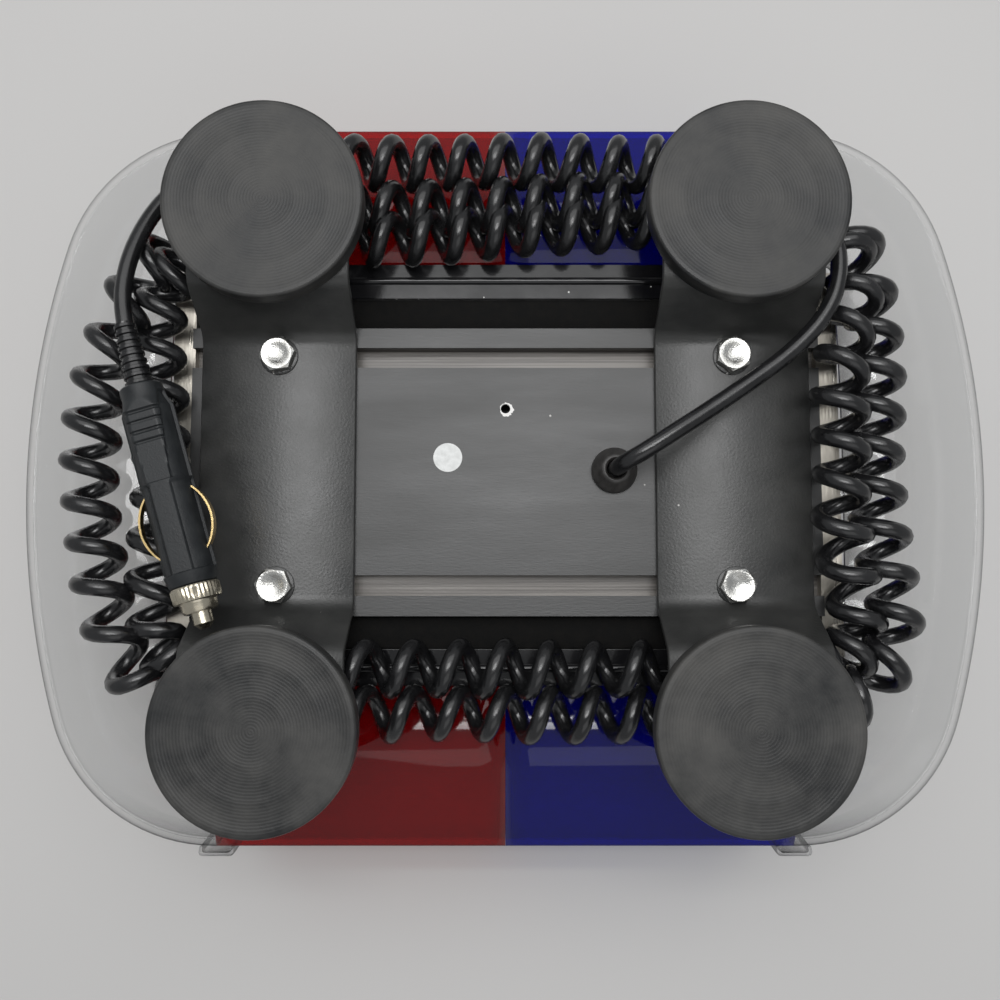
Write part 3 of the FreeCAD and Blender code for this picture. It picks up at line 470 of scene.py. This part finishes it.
def knurled(radius, height, angle):
    """36 shallow flutes round the ring's widest part."""
    if radius < 8.6 or not 93.6 < height < 98.4:
        return radius
    return radius - 0.14 * (1 + math.cos(angle * 36))


ring = turned("plug_nose_ring", [
    (4.1, 93.1), (8.9, 93.1), (9.4, 93.7), (9.4, 94.4), (9.4, 96), (9.4, 98), (9.1, 98.9),
    (7.6, 99), (7.4, 99.2), (7.1, 100), (6.9, 102.4), (6.2, 103.4), (4.1, 103.4)], count=144,
    shape=knurled)
on_plug(ring)
coat_with(ring, nickel)
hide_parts("plug_ring")

coat_with("plug_pin", nickel)
coat_with("plug_spring", nickel)
brass = surfaced("contact_brass", (0.66, 0.5, 0.24), (0.46, 0.33, 0.15), 260, (0.18, 0.4),
                 relief=0.1, Metallic=1.0)
for side in ("left", "right"):
    coat_with(f"plug_contact_{side}", brass)
glass = surfaced("fuse_glass", (0.75, 0.78, 0.76), (0.6, 0.63, 0.6), 300, (0.05, 0.12),
                 relief=0.02, Transmission_Weight=0.6)
coat_with("plug_fuse", glass)
dark_steel = surfaced("blackened_screw", (0.05, 0.05, 0.055), (0.16, 0.15, 0.14), 500, (0.3, 0.5),
                      relief=0.2, Metallic=1.0)
coat_with("plug_screw", dark_steel)

# ---------------------------------------------------------------- magnet feet
# Each foot is a ferrite ring in a pressed steel pot with a welded stud, pushed into a moulded rubber
# boot. The boot's sole carries the mould's fine turning rings, and is slightly dished and dusty.

BOOT_LINE = [
    (0, 0.45), (6, 0.44), (12, 0.4), (12.4, 0.37), (13, 0.37), (13.4, 0.39), (20, 0.34),
    (25, 0.29), (25.4, 0.25), (26, 0.25), (26.4, 0.27), (31, 0.2), (35.2, 0.12), (35.8, 0.0),
    (37.6, 0), (38.3, 0.12), (38.8, 0.5), (39, 1.1), (39, 6), (38.9, 9.2), (38.5, 10.1),
    (37.8, 10.5), (37, 10.5), (36.55, 10.2), (36.55, 2.2), (0, 2.0)]


def boot_rubber(name, shift):
    """Dusty black rubber with the cutter's fine rings, and darker and paler patches: partly wear, and
    the paler ones partly a painted sheen.
    """
    # The pale patches, about ten times lighter than the dark ones, are partly painted sheen.
    rubber = surfaced(name, (0.006, 0.007, 0.008), (0.066, 0.064, 0.06), 26, (0.34, 0.6),
                      Specular_IOR_Level=0.42)
    dusted(rubber, 0.011, 0.00035, (0.12, 0.115, 0.11))
    tree = rubber.node_tree
    lay = next(node for node in tree.nodes if node.type == "MAPPING")
    lay.inputs["Location"].default_value = shift
    rings = put(tree, "TexWave", {"wave_type": "RINGS", "rings_direction": "Z"},
                Vector=place_on(tree), Scale=260, Distortion=1.2, Detail=3, Detail_Scale=2)
    grit = put(tree, "TexNoise", Vector=lay.outputs[0], Scale=900, Detail=4)
    both = put(tree, "Math", {"operation": "ADD"}, _0=rings.outputs["Fac"], _1=grit.outputs[0])
    raised = put(tree, "Bump", Strength=0.12, Distance=0.0003, Height=both.outputs[0])
    tree.links.new(raised.outputs[0], tree.nodes["Principled BSDF"].inputs["Normal"])
    return rubber


pot_steel = surfaced("pot_steel", (0.2, 0.2, 0.2), (0.33, 0.32, 0.3), 140, (0.28, 0.45),
                     relief=0.15, Metallic=1.0)
ferrite = surfaced("ferrite", (0.05, 0.05, 0.052), (0.09, 0.09, 0.09), 500, (0.6, 0.8), relief=0.3)
for number, foot in enumerate(("front_left", "front_right", "rear_left", "rear_right")):
    low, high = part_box(f"{foot}_boot")
    boot = turned(f"{foot}_rubber_boot", BOOT_LINE, count=128, sharp=50)
    boot.location = ((low.x + high.x) / 2, (low.y + high.y) / 2, 0)
    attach(boot, f"{foot}_foot")
    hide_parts(f"{foot}_boot")
    coat_with(boot, boot_rubber(f"{foot}_rubber", (0.31 * number, 0.17 * number, 0)))
    coat_with(f"{foot}_pot", pot_steel)
    coat_with(f"{foot}_magnet", ferrite)

# ---------------------------------------------------------------- strap brackets
# Each is one strip of 3 mm steel bent down at both ends and powder coated satin black. It hangs under
# the base on two bolts and stands on two feet. The coat has a fine grain and holds dust.

bracket_black = dusted(surfaced(
    "bracket_black", (0.024, 0.0245, 0.024), (0.044, 0.044, 0.042), 42, (0.29, 0.42), relief=0.22,
    fine=22, Specular_IOR_Level=0.55), 0.012, 0.0004)
STRAP_THICK, STRAP_EDGE, BEND_REACH, BEND_STEPS = 0.003, 0.0005, 0.0045, 6
STRAP_CORNERS = [(-.12, .012), (-.072, .012), (-.0555, .037), (.0555, .037), (.072, .012),
                 (.12, .012)]


def strap_line(offset):
    """The strip's line across Y and Z, on its underside or, moved up by offset, its top."""
    line = [Vector(corner) + Vector((0, offset)) for corner in STRAP_CORNERS]
    rise = line[2] - line[1]
    narrowed = offset * math.tan(math.atan2(rise.y, rise.x) / 2)
    for index, sign in ((1, 1), (2, 1), (3, -1), (4, -1)):
        line[index].x -= sign * narrowed
    rounded = [line[0]]
    for before, here, after in zip(line, line[1:], line[2:]):
        a = here + (before - here).normalized() * BEND_REACH
        b = here + (after - here).normalized() * BEND_REACH
        for k in range(BEND_STEPS + 1):
            t = k / BEND_STEPS
            rounded.append(a.lerp(here, t).lerp(here.lerp(b, t), t))
    return rounded + [line[-1]]


for side in ("left", "right"):
    low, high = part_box(f"{side}_bracket")
    rows = []
    for a, b in zip(strap_line(0), strap_line(STRAP_THICK)):
        up = (b - a).normalized() * STRAP_EDGE
        rows.append([Vector((x, y_z.x, y_z.y)) for x, y_z in (
            (low.x + STRAP_EDGE, a), (high.x - STRAP_EDGE, a), (high.x, a + up), (high.x, b - up),
            (high.x - STRAP_EDGE, b), (low.x + STRAP_EDGE, b), (low.x, b - up), (low.x, a + up))])
    strap = skin(f"{side}_strap", rows, loop=True, capped=True, sharp=50)
    coat_with(strap, bracket_black)
    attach(strap, f"{side}_bracket")
    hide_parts(f"{side}_bracket")

# ---------------------------------------------------------------- bolts, washers and nuts
# Zinc plated M8 bolts with forged heads on black washers, and plated nuts. The plating is bright and
# a little hazy, and the heads have the usual chamfer and a shallow dished crown.

bright_steel = surfaced("zinc_plate", (0.66, 0.66, 0.64), (0.5, 0.49, 0.46), 330, (0.16, 0.34),
                        relief=0.22, fine=4, Metallic=1.0)


HEX_FLATS, HEAD_HEIGHT, HEAD_DISH, THREAD_PITCH, THREAD_DEPTH = 13, 5.3, 0.5, 1.25, 0.55
BOLT_Y, STUD_Y, NUT_FROM, NUT_TO = 0.0475, 0.101, 15, 20
HEAD_TURNS = {"left": 0.35, "right": 0.12}


def hex_reach(flats):
    """A hexagon's radius at an angle, in millimetres."""
    return lambda angle: flats / 2 / math.cos((angle + math.pi / 6) % (math.pi / 3) - math.pi / 6)


def hex_piece(name, low, high, crown, thread, tip):
    """A bolt head or nut about its own axis, chamfered below, and above as well on a nut. A bolt's
    thread ends at tip, above the head; a nut's tip is below it."""
    reach = hex_reach(HEX_FLATS)
    chamfer = math.tan(math.radians(28))
    is_bolt = tip > high

    def drop(angle):
        return max(0, reach(angle) - HEX_FLATS / 2 + 0.25) * chamfer

    def below(angle):
        return low + drop(angle)

    def above(angle):
        return high if is_bolt else high - drop(angle)

    rings = [lambda a: (0, low + crown), lambda a: (HEX_FLATS * 0.27, low + crown * 0.9),
             lambda a: (HEX_FLATS * 0.33, low + crown * 0.1), lambda a: (HEX_FLATS / 2 - 0.3, low),
             lambda a: (reach(a) - 0.05, below(a)), lambda a: (reach(a), below(a) + 0.15),
             lambda a: (reach(a), above(a) - 0.15), lambda a: (reach(a) - 0.1, above(a)),
             lambda a: (HEX_FLATS / 2 - 0.4, high), lambda a: (thread, high)]
    for k in range(int((tip - high) / THREAD_PITCH) if is_bolt else 0):
        root, crest = high + (k + 0.45) * THREAD_PITCH, high + (k + 0.9) * THREAD_PITCH
        rings += [lambda a, root=root: (thread - THREAD_DEPTH, root),
                  lambda a, crest=crest: (thread - THREAD_DEPTH * 0.1, crest)]
    rings.append(lambda a: (0, tip if is_bolt else high))
    count = 96
    rows = []
    for ring in rings:
        row = []
        for k in range(count):
            angle = 2 * math.pi * k / count
            radius, height = ring(angle)
            row.append(Vector((radius * math.cos(angle), radius * math.sin(angle), height)) / 1000)
        rows.append(row)
    return skin(name, rows, loop=True, sharp=28)


for side in ("left", "right"):
    low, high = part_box(f"{side}_bracket_bolts")
    middle = (low.x + high.x) / 2
    for end, y in (("front", -BOLT_Y), ("rear", BOLT_Y)):
        bolt = hex_piece(f"{side}_{end}_bolt", low.z * 1000, low.z * 1000 + HEAD_HEIGHT, HEAD_DISH,
                         3.9, high.z * 1000)
        turn = HEAD_TURNS[side] + (0.3 if end == "rear" else 0)
        bolt.matrix_world = Matrix.Translation((middle, y, 0)) @ Matrix.Rotation(turn, 4, "Z")
        washer = turned(f"{side}_{end}_washer", [
            (4.2, 36.12), (7.3, 36.12), (7.8, 36.35), (7.9, 36.6), (7.85, 36.9), (7.5, 37),
            (4.2, 37), (4.2, 36.12)], count=72)
        washer.location = (middle, y, 0)
        coat_with(bolt, bright_steel)
        coat_with(washer, bracket_black)
        for piece in (bolt, washer):
            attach(piece, f"{side}_bracket")
    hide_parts(f"{side}_bracket_bolts")
    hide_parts(f"{side}_bracket_washers")
    low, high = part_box(f"{side}_foot_nuts")
    for end, y in (("front", -STUD_Y), ("rear", STUD_Y)):
        nut = hex_piece(f"{side}_{end}_foot_nut", NUT_FROM, NUT_TO, 0.0, 4.1, tip=0)
        nut.location = (middle, y, 0)
        coat_with(nut, bright_steel)
        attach(nut, f"{side}_bracket")
    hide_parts(f"{side}_foot_nuts")
    coat_with(f"{side}_slot_nuts", bright_steel)

# ---------------------------------------------------------------- base extrusion, rails, end angles
# The base is one aluminium extrusion, dyed satin black before it was sawn. The roofs inside its slots
# are painted a paler, streaky grey-brown: painted light, the lit band where the lamps below shine in,
# not a thinner dye. The small hole's rim is chipped to bare metal. The rails are gloss black, and the
# end angles are bare mill aluminium.

black_aluminium = dusted(surfaced(
    "dyed_aluminium", (0.022, 0.0225, 0.023), (0.036, 0.036, 0.035), 30, (0.34, 0.48), relief=0.12,
    fine=30, stretch=(0.35, 1.6, 1.6), Specular_IOR_Level=0.6), 0.01, 0.00045)
tree = black_aluminium.node_tree
# Painted light: the slots' roofs get a paler streaky grey-brown laid over the black, for the light
# that falls into the slots.
axes = put(tree, "SeparateXYZ", _0=place_on(tree))
depth = put(tree, "MapRange", _0=axes.outputs["Z"], From_Min=0.0482, From_Max=0.0488)
aside = put(tree, "Math", {"operation": "ABSOLUTE"}, _0=axes.outputs["Y"])
within = put(tree, "Math", {"operation": "COMPARE"}, _0=aside.outputs[0], _1=BOLT_Y, _2=0.0092)
shallow = put(tree, "Math", {"operation": "LESS_THAN"}, _0=axes.outputs["Z"], _1=0.0495)
deep = put(tree, "Math", {"operation": "MULTIPLY"}, _0=within.outputs[0], _1=depth.outputs[0])
in_slot = put(tree, "Math", {"operation": "MULTIPLY"}, _0=deep.outputs[0], _1=shallow.outputs[0])
drawn = put(tree, "Mapping", Vector=place_on(tree), Scale=(0.15, 18, 18))
streaks = put(tree, "TexNoise", Vector=drawn.outputs[0], Scale=60)
painted_slot_light = ramp(tree, streaks.outputs[0], 0.35, 0.65, (0.1, 0.09, 0.08), (0.26, 0.24, 0.22))
laid_over(black_aluminium, in_slot.outputs[0], painted_slot_light)
from_vent = put(tree, "VectorMath", {"operation": "DISTANCE"}, _0=place_on(tree),
                _1=(0.0004, -0.0256, 0.04))
ragged = put(tree, "TexNoise", Vector=place_on(tree), Scale=650)
chip_edge = put(tree, "MapRange", _0=ragged.outputs[0], To_Min=0.0018, To_Max=0.0039)
chipped = put(tree, "Math", {"operation": "LESS_THAN"}, _0=from_vent.outputs["Value"],
              _1=chip_edge.outputs[0])
laid_over(black_aluminium, chipped.outputs[0], (0.75, 0.74, 0.72, 1))
coat_with("base_extrusion", black_aluminium)

gloss_black = dusted(surfaced("gloss_black", (0.006, 0.006, 0.007), (0.011, 0.011, 0.012), 60,
                              (0.09, 0.17), relief=0.03), 0.009, 0.0004, (0.6, 0.6, 0.58))
coat_with("front_rail", gloss_black)
coat_with("rear_rail", gloss_black)
bare_aluminium = surfaced("mill_aluminium", (0.56, 0.53, 0.47), (0.4, 0.37, 0.32), 90,
                          (0.22, 0.42), relief=0.2, stretch=(2.2, 0.25, 1), Metallic=1.0)
for side in ("left", "right"):
    coat_with(f"{side}_end_angle", bare_aluminium)
coat_with("end_angle_screws", bright_steel)

# ---------------------------------------------------------------- ledge shade strips
# Black matt strips that lie along the extrusion's outer ledges under the rails: painted shade, put
# there to darken the ledge band, which is in shade. They are a little wavy along their length.

SHADE_STRIP_HALF, SHADE_STRIP_STATIONS = 130.5, 60
# Painted shade: a near-black, matt, barely shiny strip along each ledge.
ledge_shade_matt = surfaced("ledge_shade_matt", (0.004, 0.004, 0.004), (0.009, 0.0085, 0.008), 240, (0.75, 0.95),
                     relief=0.5, Specular_IOR_Level=0.12)
for end, sign in (("front", -1), ("rear", 1)):
    rows = []
    for k in range(SHADE_STRIP_STATIONS + 1):
        x = SHADE_STRIP_HALF * (2 * k / SHADE_STRIP_STATIONS - 1)
        swell = 0.12 * math.sin(0.31 * k) + 0.07 * math.sin(0.83 * k + 1)
        rows.append([Vector((x, sign * y, z)) / 1000 for y, z in [
            (60.3, 46), (60.5, 45.6 - swell), (61.3, 45.25 - swell), (67, 45.15 + swell),
            (72.9, 45.25 + swell), (73.7, 45.6), (73.85, 46)]])
    shade_strip = skin(f"{end}_ledge_shade_strip", rows, loop=True, capped=True, sharp=50)
    coat_with(shade_strip, ledge_shade_matt)
    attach(shade_strip, "housing")

# ---------------------------------------------------------------- lenses, domes and collars
# The shell is four mouldings of clear and dyed polycarbonate, 3 mm thick, with one section all round:
# a lip on the base, a sloping underside, a short upright rim and a rounded top. Two clear channel
# collars clip over the joints.

SECTION = [(70.6, 45), (39, 51), (0, 71), (0, 76), (3, 97), (20, 115), (52, 125), (68, 128)]
SOFTNESS = [0.08, 0.07, 0.35, 0.45, 0.5, 0.5, 0.5]
SEAM, RIM, HALF_LENGTH, CORNER = 125, 160, 213.5, 75
END_RADIUS, LIP_END_RADIUS, LIP_Z, CROWN_Z = 380, 2000, 45, 128
SHELL_WALL = 0.003


def softened(stations, softness, steps=6):
    """Rows through the stations, each corner rounded by a share of the runs on either side of it."""
    rows = [stations[0]]
    for before, here, after, soft in zip(stations, stations[1:], stations[2:], softness):
        starts = [h.lerp(b, soft) for h, b in zip(here, before)]
        stops = [h.lerp(a, soft) for h, a in zip(here, after)]
        for k in range(steps + 1):
            t = k / steps
            rows.append([p.lerp(h, t).lerp(h.lerp(q, t), t) for p, h, q in zip(starts, here, stops)])
    rows.append(stations[-1])
    return rows


def across_stations(x_from, x_to, count=2):
    xs = [x_from + (x_to - x_from) * k / (count - 1) for k in range(count)]
    half = [[Vector((x, RIM - inset, z)) / 1000 for x in xs] for inset, z in SECTION]
    half.append([Vector((x, 46, CROWN_Z)) / 1000 for x in xs])
    other = [[Vector((p.x, -p.y, p.z)) for p in row] for row in reversed(half)]
    return half + other


def walled(piece):
    """Give an open moulding its wall, inwards from its outer face."""
    wall = piece.modifiers.new("wall", "SOLIDIFY")
    wall.thickness, wall.offset, wall.use_even_offset = SHELL_WALL, -1, True
    return piece


def see_through(name, tint, edge_tint, shine, body=0.0, body_colour=(0, 0, 0)):
    """Moulded clear plastic: what is behind it shows through its tint, darker at a glancing look, with
    a wavy polished skin. body is how much of the dye scatters light."""
    material = bpy.data.materials.new(name)
    material.use_nodes = True
    tree = material.node_tree
    skin_shader = tree.nodes["Principled BSDF"]
    out = tree.nodes["Material Output"]
    flow = put(tree, "TexNoise", Vector=place_on(tree), Scale=14, Detail=2)
    ripple = put(tree, "Bump", Strength=0.25, Distance=0.0012, Height=flow.outputs[0]).outputs[0]
    scuffs = put(tree, "TexNoise", Vector=place_on(tree), Scale=180, Detail=6).outputs[0]
    rough = put(tree, "MapRange", _0=scuffs, From_Min=0.35, From_Max=0.75, To_Min=shine[0],
                To_Max=shine[1]).outputs[0]
    gloss = put(tree, "BsdfGlossy", Roughness=rough, Normal=ripple)
    facing = put(tree, "LayerWeight", Blend=0.35)
    through = put(tree, "BsdfTransparent",
                  Color=ramp(tree, facing.outputs["Facing"], 0.38, 0.9, tint, edge_tint))
    turning = put(tree, "LayerWeight", Blend=0.5, Normal=ripple)
    steep = put(tree, "Math", {"operation": "POWER"}, _0=turning.outputs["Facing"], _1=3.5)
    share = put(tree, "MapRange", _0=steep.outputs[0], To_Min=0.045, To_Max=0.45)
    clear = put(tree, "MixShader", _0=share.outputs[0], _1=through.outputs[0], _2=gloss.outputs[0])
    if not body:
        tree.nodes.remove(skin_shader)
        tree.links.new(clear.outputs[0], out.inputs["Surface"])
        return material
    dyed = put(tree, "MixRGB", _0=scuffs, _1=(*body_colour, 1),
               _2=(*[c * 0.6 for c in body_colour], 1))
    for socket, given in (("Base Color", dyed.outputs[0]), ("Roughness", rough), ("Normal", ripple)):
        tree.links.new(given, skin_shader.inputs[socket])
    whole = put(tree, "MixShader", _0=body, _1=clear.outputs[0], _2=skin_shader.outputs[0])
    tree.links.new(whole.outputs[0], out.inputs["Surface"])
    return material


lens_softness = SOFTNESS + [0.0, 0.0] + SOFTNESS[::-1]
for colour, side, x_from, x_to, tint, glow in (
        ("red", "left", -SEAM, -0.05, (0.82, 0.03, 0.035), (0.34, 0.008, 0.012)),
        ("blue", "right", 0.05, SEAM, (0.03, 0.04, 0.78), (0.012, 0.014, 0.3))):
    rows = softened(across_stations(x_from, x_to, 12), lens_softness)
    lens = walled(skin(f"{colour}_lens_shell", rows, sharp=30, keep_open=True))
    dyed_plastic = see_through(f"{colour}_polycarbonate", tint, tuple(c * 0.25 for c in tint),
                               (0.04, 0.12), body=0.22, body_colour=glow)
    coat_with(lens, dyed_plastic)
    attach(lens, "housing")
    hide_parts(f"{colour}_lens")


def plan_line(inset, height, end_radius, straight=4, corner_steps=18, end_steps=22):
    """A dome's outline at one height, from its front seam round the end to its rear seam."""
    corner, long_way = CORNER - inset, end_radius - inset
    end_centre = HALF_LENGTH - end_radius
    corner_y = RIM - CORNER
    corner_x = end_centre + math.sqrt((long_way - corner) ** 2 - corner_y ** 2)
    tangent = math.atan2(corner_y, corner_x - end_centre)
    half = [(SEAM + (corner_x - SEAM) * k / straight, corner_y + corner) for k in range(straight)]
    half += [(corner_x + corner * math.cos(a), corner_y + corner * math.sin(a))
             for a in (QUARTER + (tangent - QUARTER) * k / corner_steps
                       for k in range(corner_steps + 1))]
    half += [(end_centre + long_way * math.cos(a), long_way * math.sin(a))
             for a in (tangent * (1 - k / end_steps) for k in range(1, end_steps))]
    half.append((end_centre + long_way, 0))
    ring = [(x, -y) for x, y in half] + [(x, y) for x, y in half[-2::-1]]
    return [Vector((x, y, height)) / 1000 for x, y in ring]


clear_plastic = see_through("clear_polycarbonate", (0.988, 0.99, 0.99), (0.03, 0.032, 0.035),
                            (0.02, 0.07))
stations = [plan_line(inset, z, LIP_END_RADIUS if z == LIP_Z else END_RADIUS)
            for inset, z in SECTION]
seam_x = SEAM / 1000
stations.append([Vector((seam_x + (p.x - seam_x) * 0.5, p.y * 0.5, p.z)) for p in stations[-1]])
dome_rows = softened(stations, SOFTNESS)
for side, sign in (("left", -1), ("right", 1)):
    rows = [[Vector((sign * p.x, p.y, p.z)) for p in row] for row in dome_rows]
    dome = skin(f"{side}_dome_shell", rows, sharp=30, keep_open=True)
    work = bmesh.new()
    work.from_mesh(dome.data)
    crown_edges = [e for e in work.edges
                   if e.is_boundary and all(v.co.z > CROWN_Z / 1000 - 1e-5 for v in e.verts)]
    bmesh.ops.contextual_create(work, geom=crown_edges)
    work.to_mesh(dome.data)
    work.free()
    walled(dome)
    dome.visible_shadow = False
    coat_with(dome, clear_plastic)
    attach(dome, "housing")
    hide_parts(f"{side}_dome")

# A collar's section, along X and outwards from the shell. It starts just above the rim.
COLLAR_FROM = 0.0712
CHANNEL = [(-7.5, 0.3), (-7.5, 2.9), (-6.7, 4.0), (-5.5, 4.3), (5.5, 4.3), (6.7, 4.0), (7.5, 2.9),
           (7.5, 0.3), (6.1, 0.3), (6.1, 2.3), (5.2, 3.0), (-5.2, 3.0), (-6.1, 2.3), (-6.1, 0.3)]
arch_line = [row[0].yz for row in softened(across_stations(0, 1), lens_softness)]
arch_line = [p for i, p in enumerate(arch_line) if p.y >= COLLAR_FROM
             and (i == 0 or (p - arch_line[i - 1]).length > 1e-5)]
for side, sign in (("left", -1), ("right", 1)):
    rows = []
    for index, here in enumerate(arch_line):
        way = arch_line[min(index + 1, len(arch_line) - 1)] - arch_line[max(index - 1, 0)]
        outward = Vector((way.y, -way.x)).normalized()
        rows.append([Vector((sign * SEAM + dx, here.x * 1000 + outward.x * off,
                             here.y * 1000 + outward.y * off)) / 1000 for dx, off in CHANNEL])
    collar = skin(f"{side}_joint_collar", rows, loop=True, capped=True, sharp=40)
    collar.visible_shadow = False
    coat_with(collar, clear_plastic)
    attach(collar, "housing")
    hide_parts(f"{side}_seam_collar")

# ---------------------------------------------------------------- lamps inside
# Two rows of lamp boards stand back to back on a folded tray, behind metallised reflector cups, and
# the flash driver sits between them.

tray_finish = surfaced("tray_zinc", (0.42, 0.43, 0.44), (0.3, 0.31, 0.32), 60, (0.3, 0.5),
                       relief=0.1, Metallic=1.0)
coat_with("lamp_tray", tray_finish)
laminate = surfaced("board_laminate", (0.5, 0.52, 0.5), (0.32, 0.35, 0.33), 220, (0.35, 0.5),
                    relief=0.1)
lamp_finish = surfaced("lamp_package", (0.72, 0.66, 0.36), (0.6, 0.56, 0.4), 700, (0.15, 0.3),
                       relief=0.1)
mirror = surfaced("metallised_plastic", (0.8, 0.8, 0.81), (0.68, 0.68, 0.7), 120, (0.06, 0.16),
                  relief=0.03, Metallic=1.0)
for colour in ("red", "blue"):
    coat_with(f"{colour}_lamp_boards", laminate)
    coat_with(f"{colour}_lamps", lamp_finish)
    coat_with(f"{colour}_reflectors", mirror)
driver_green = surfaced("driver_laminate", (0.02, 0.12, 0.05), (0.04, 0.17, 0.08), 260,
                        (0.3, 0.5), relief=0.15)
coat_with("flash_driver_board", driver_green)

# ---------------------------------------------------------------- label and gland
# A blank white foil disc stuck to the base, and a black nylon gland screwed through it, with a nut
# inside. The gland has a thin flange and a rounded nose, and the lead leaves by its mouth.

label_white = surfaced("label_foil", (0.66, 0.67, 0.66), (0.54, 0.55, 0.54), 400, (0.25, 0.4),
                       relief=0.08)
coat_with("blank_label", label_white)
nylon = surfaced("gland_nylon", (0.022, 0.021, 0.02), (0.055, 0.052, 0.05), 240, (0.25, 0.45),
                 relief=0.3)
gland = turned("gland_collar", [
    (7.4, 44), (7.4, 40), (9.2, 39.9), (9.5, 39.4), (9.4, 37.6), (8.9, 36.5), (8.2, 35.4),
    (7.4, 33.8), (6.5, 32.4), (6.0, 31.6), (5.4, 31.15), (4.7, 31.05), (4.2, 31.4), (3.75, 32.2),
    (3.6, 34), (3.6, 44), (7.4, 44)], count=96, sharp=40)
low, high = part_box("gland_body")
gland.location = ((low.x + high.x) / 2, (low.y + high.y) / 2, 0)
coat_with(gland, nylon)
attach(gland, "housing")
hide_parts("gland_body")
coat_with("gland_nut", nylon)
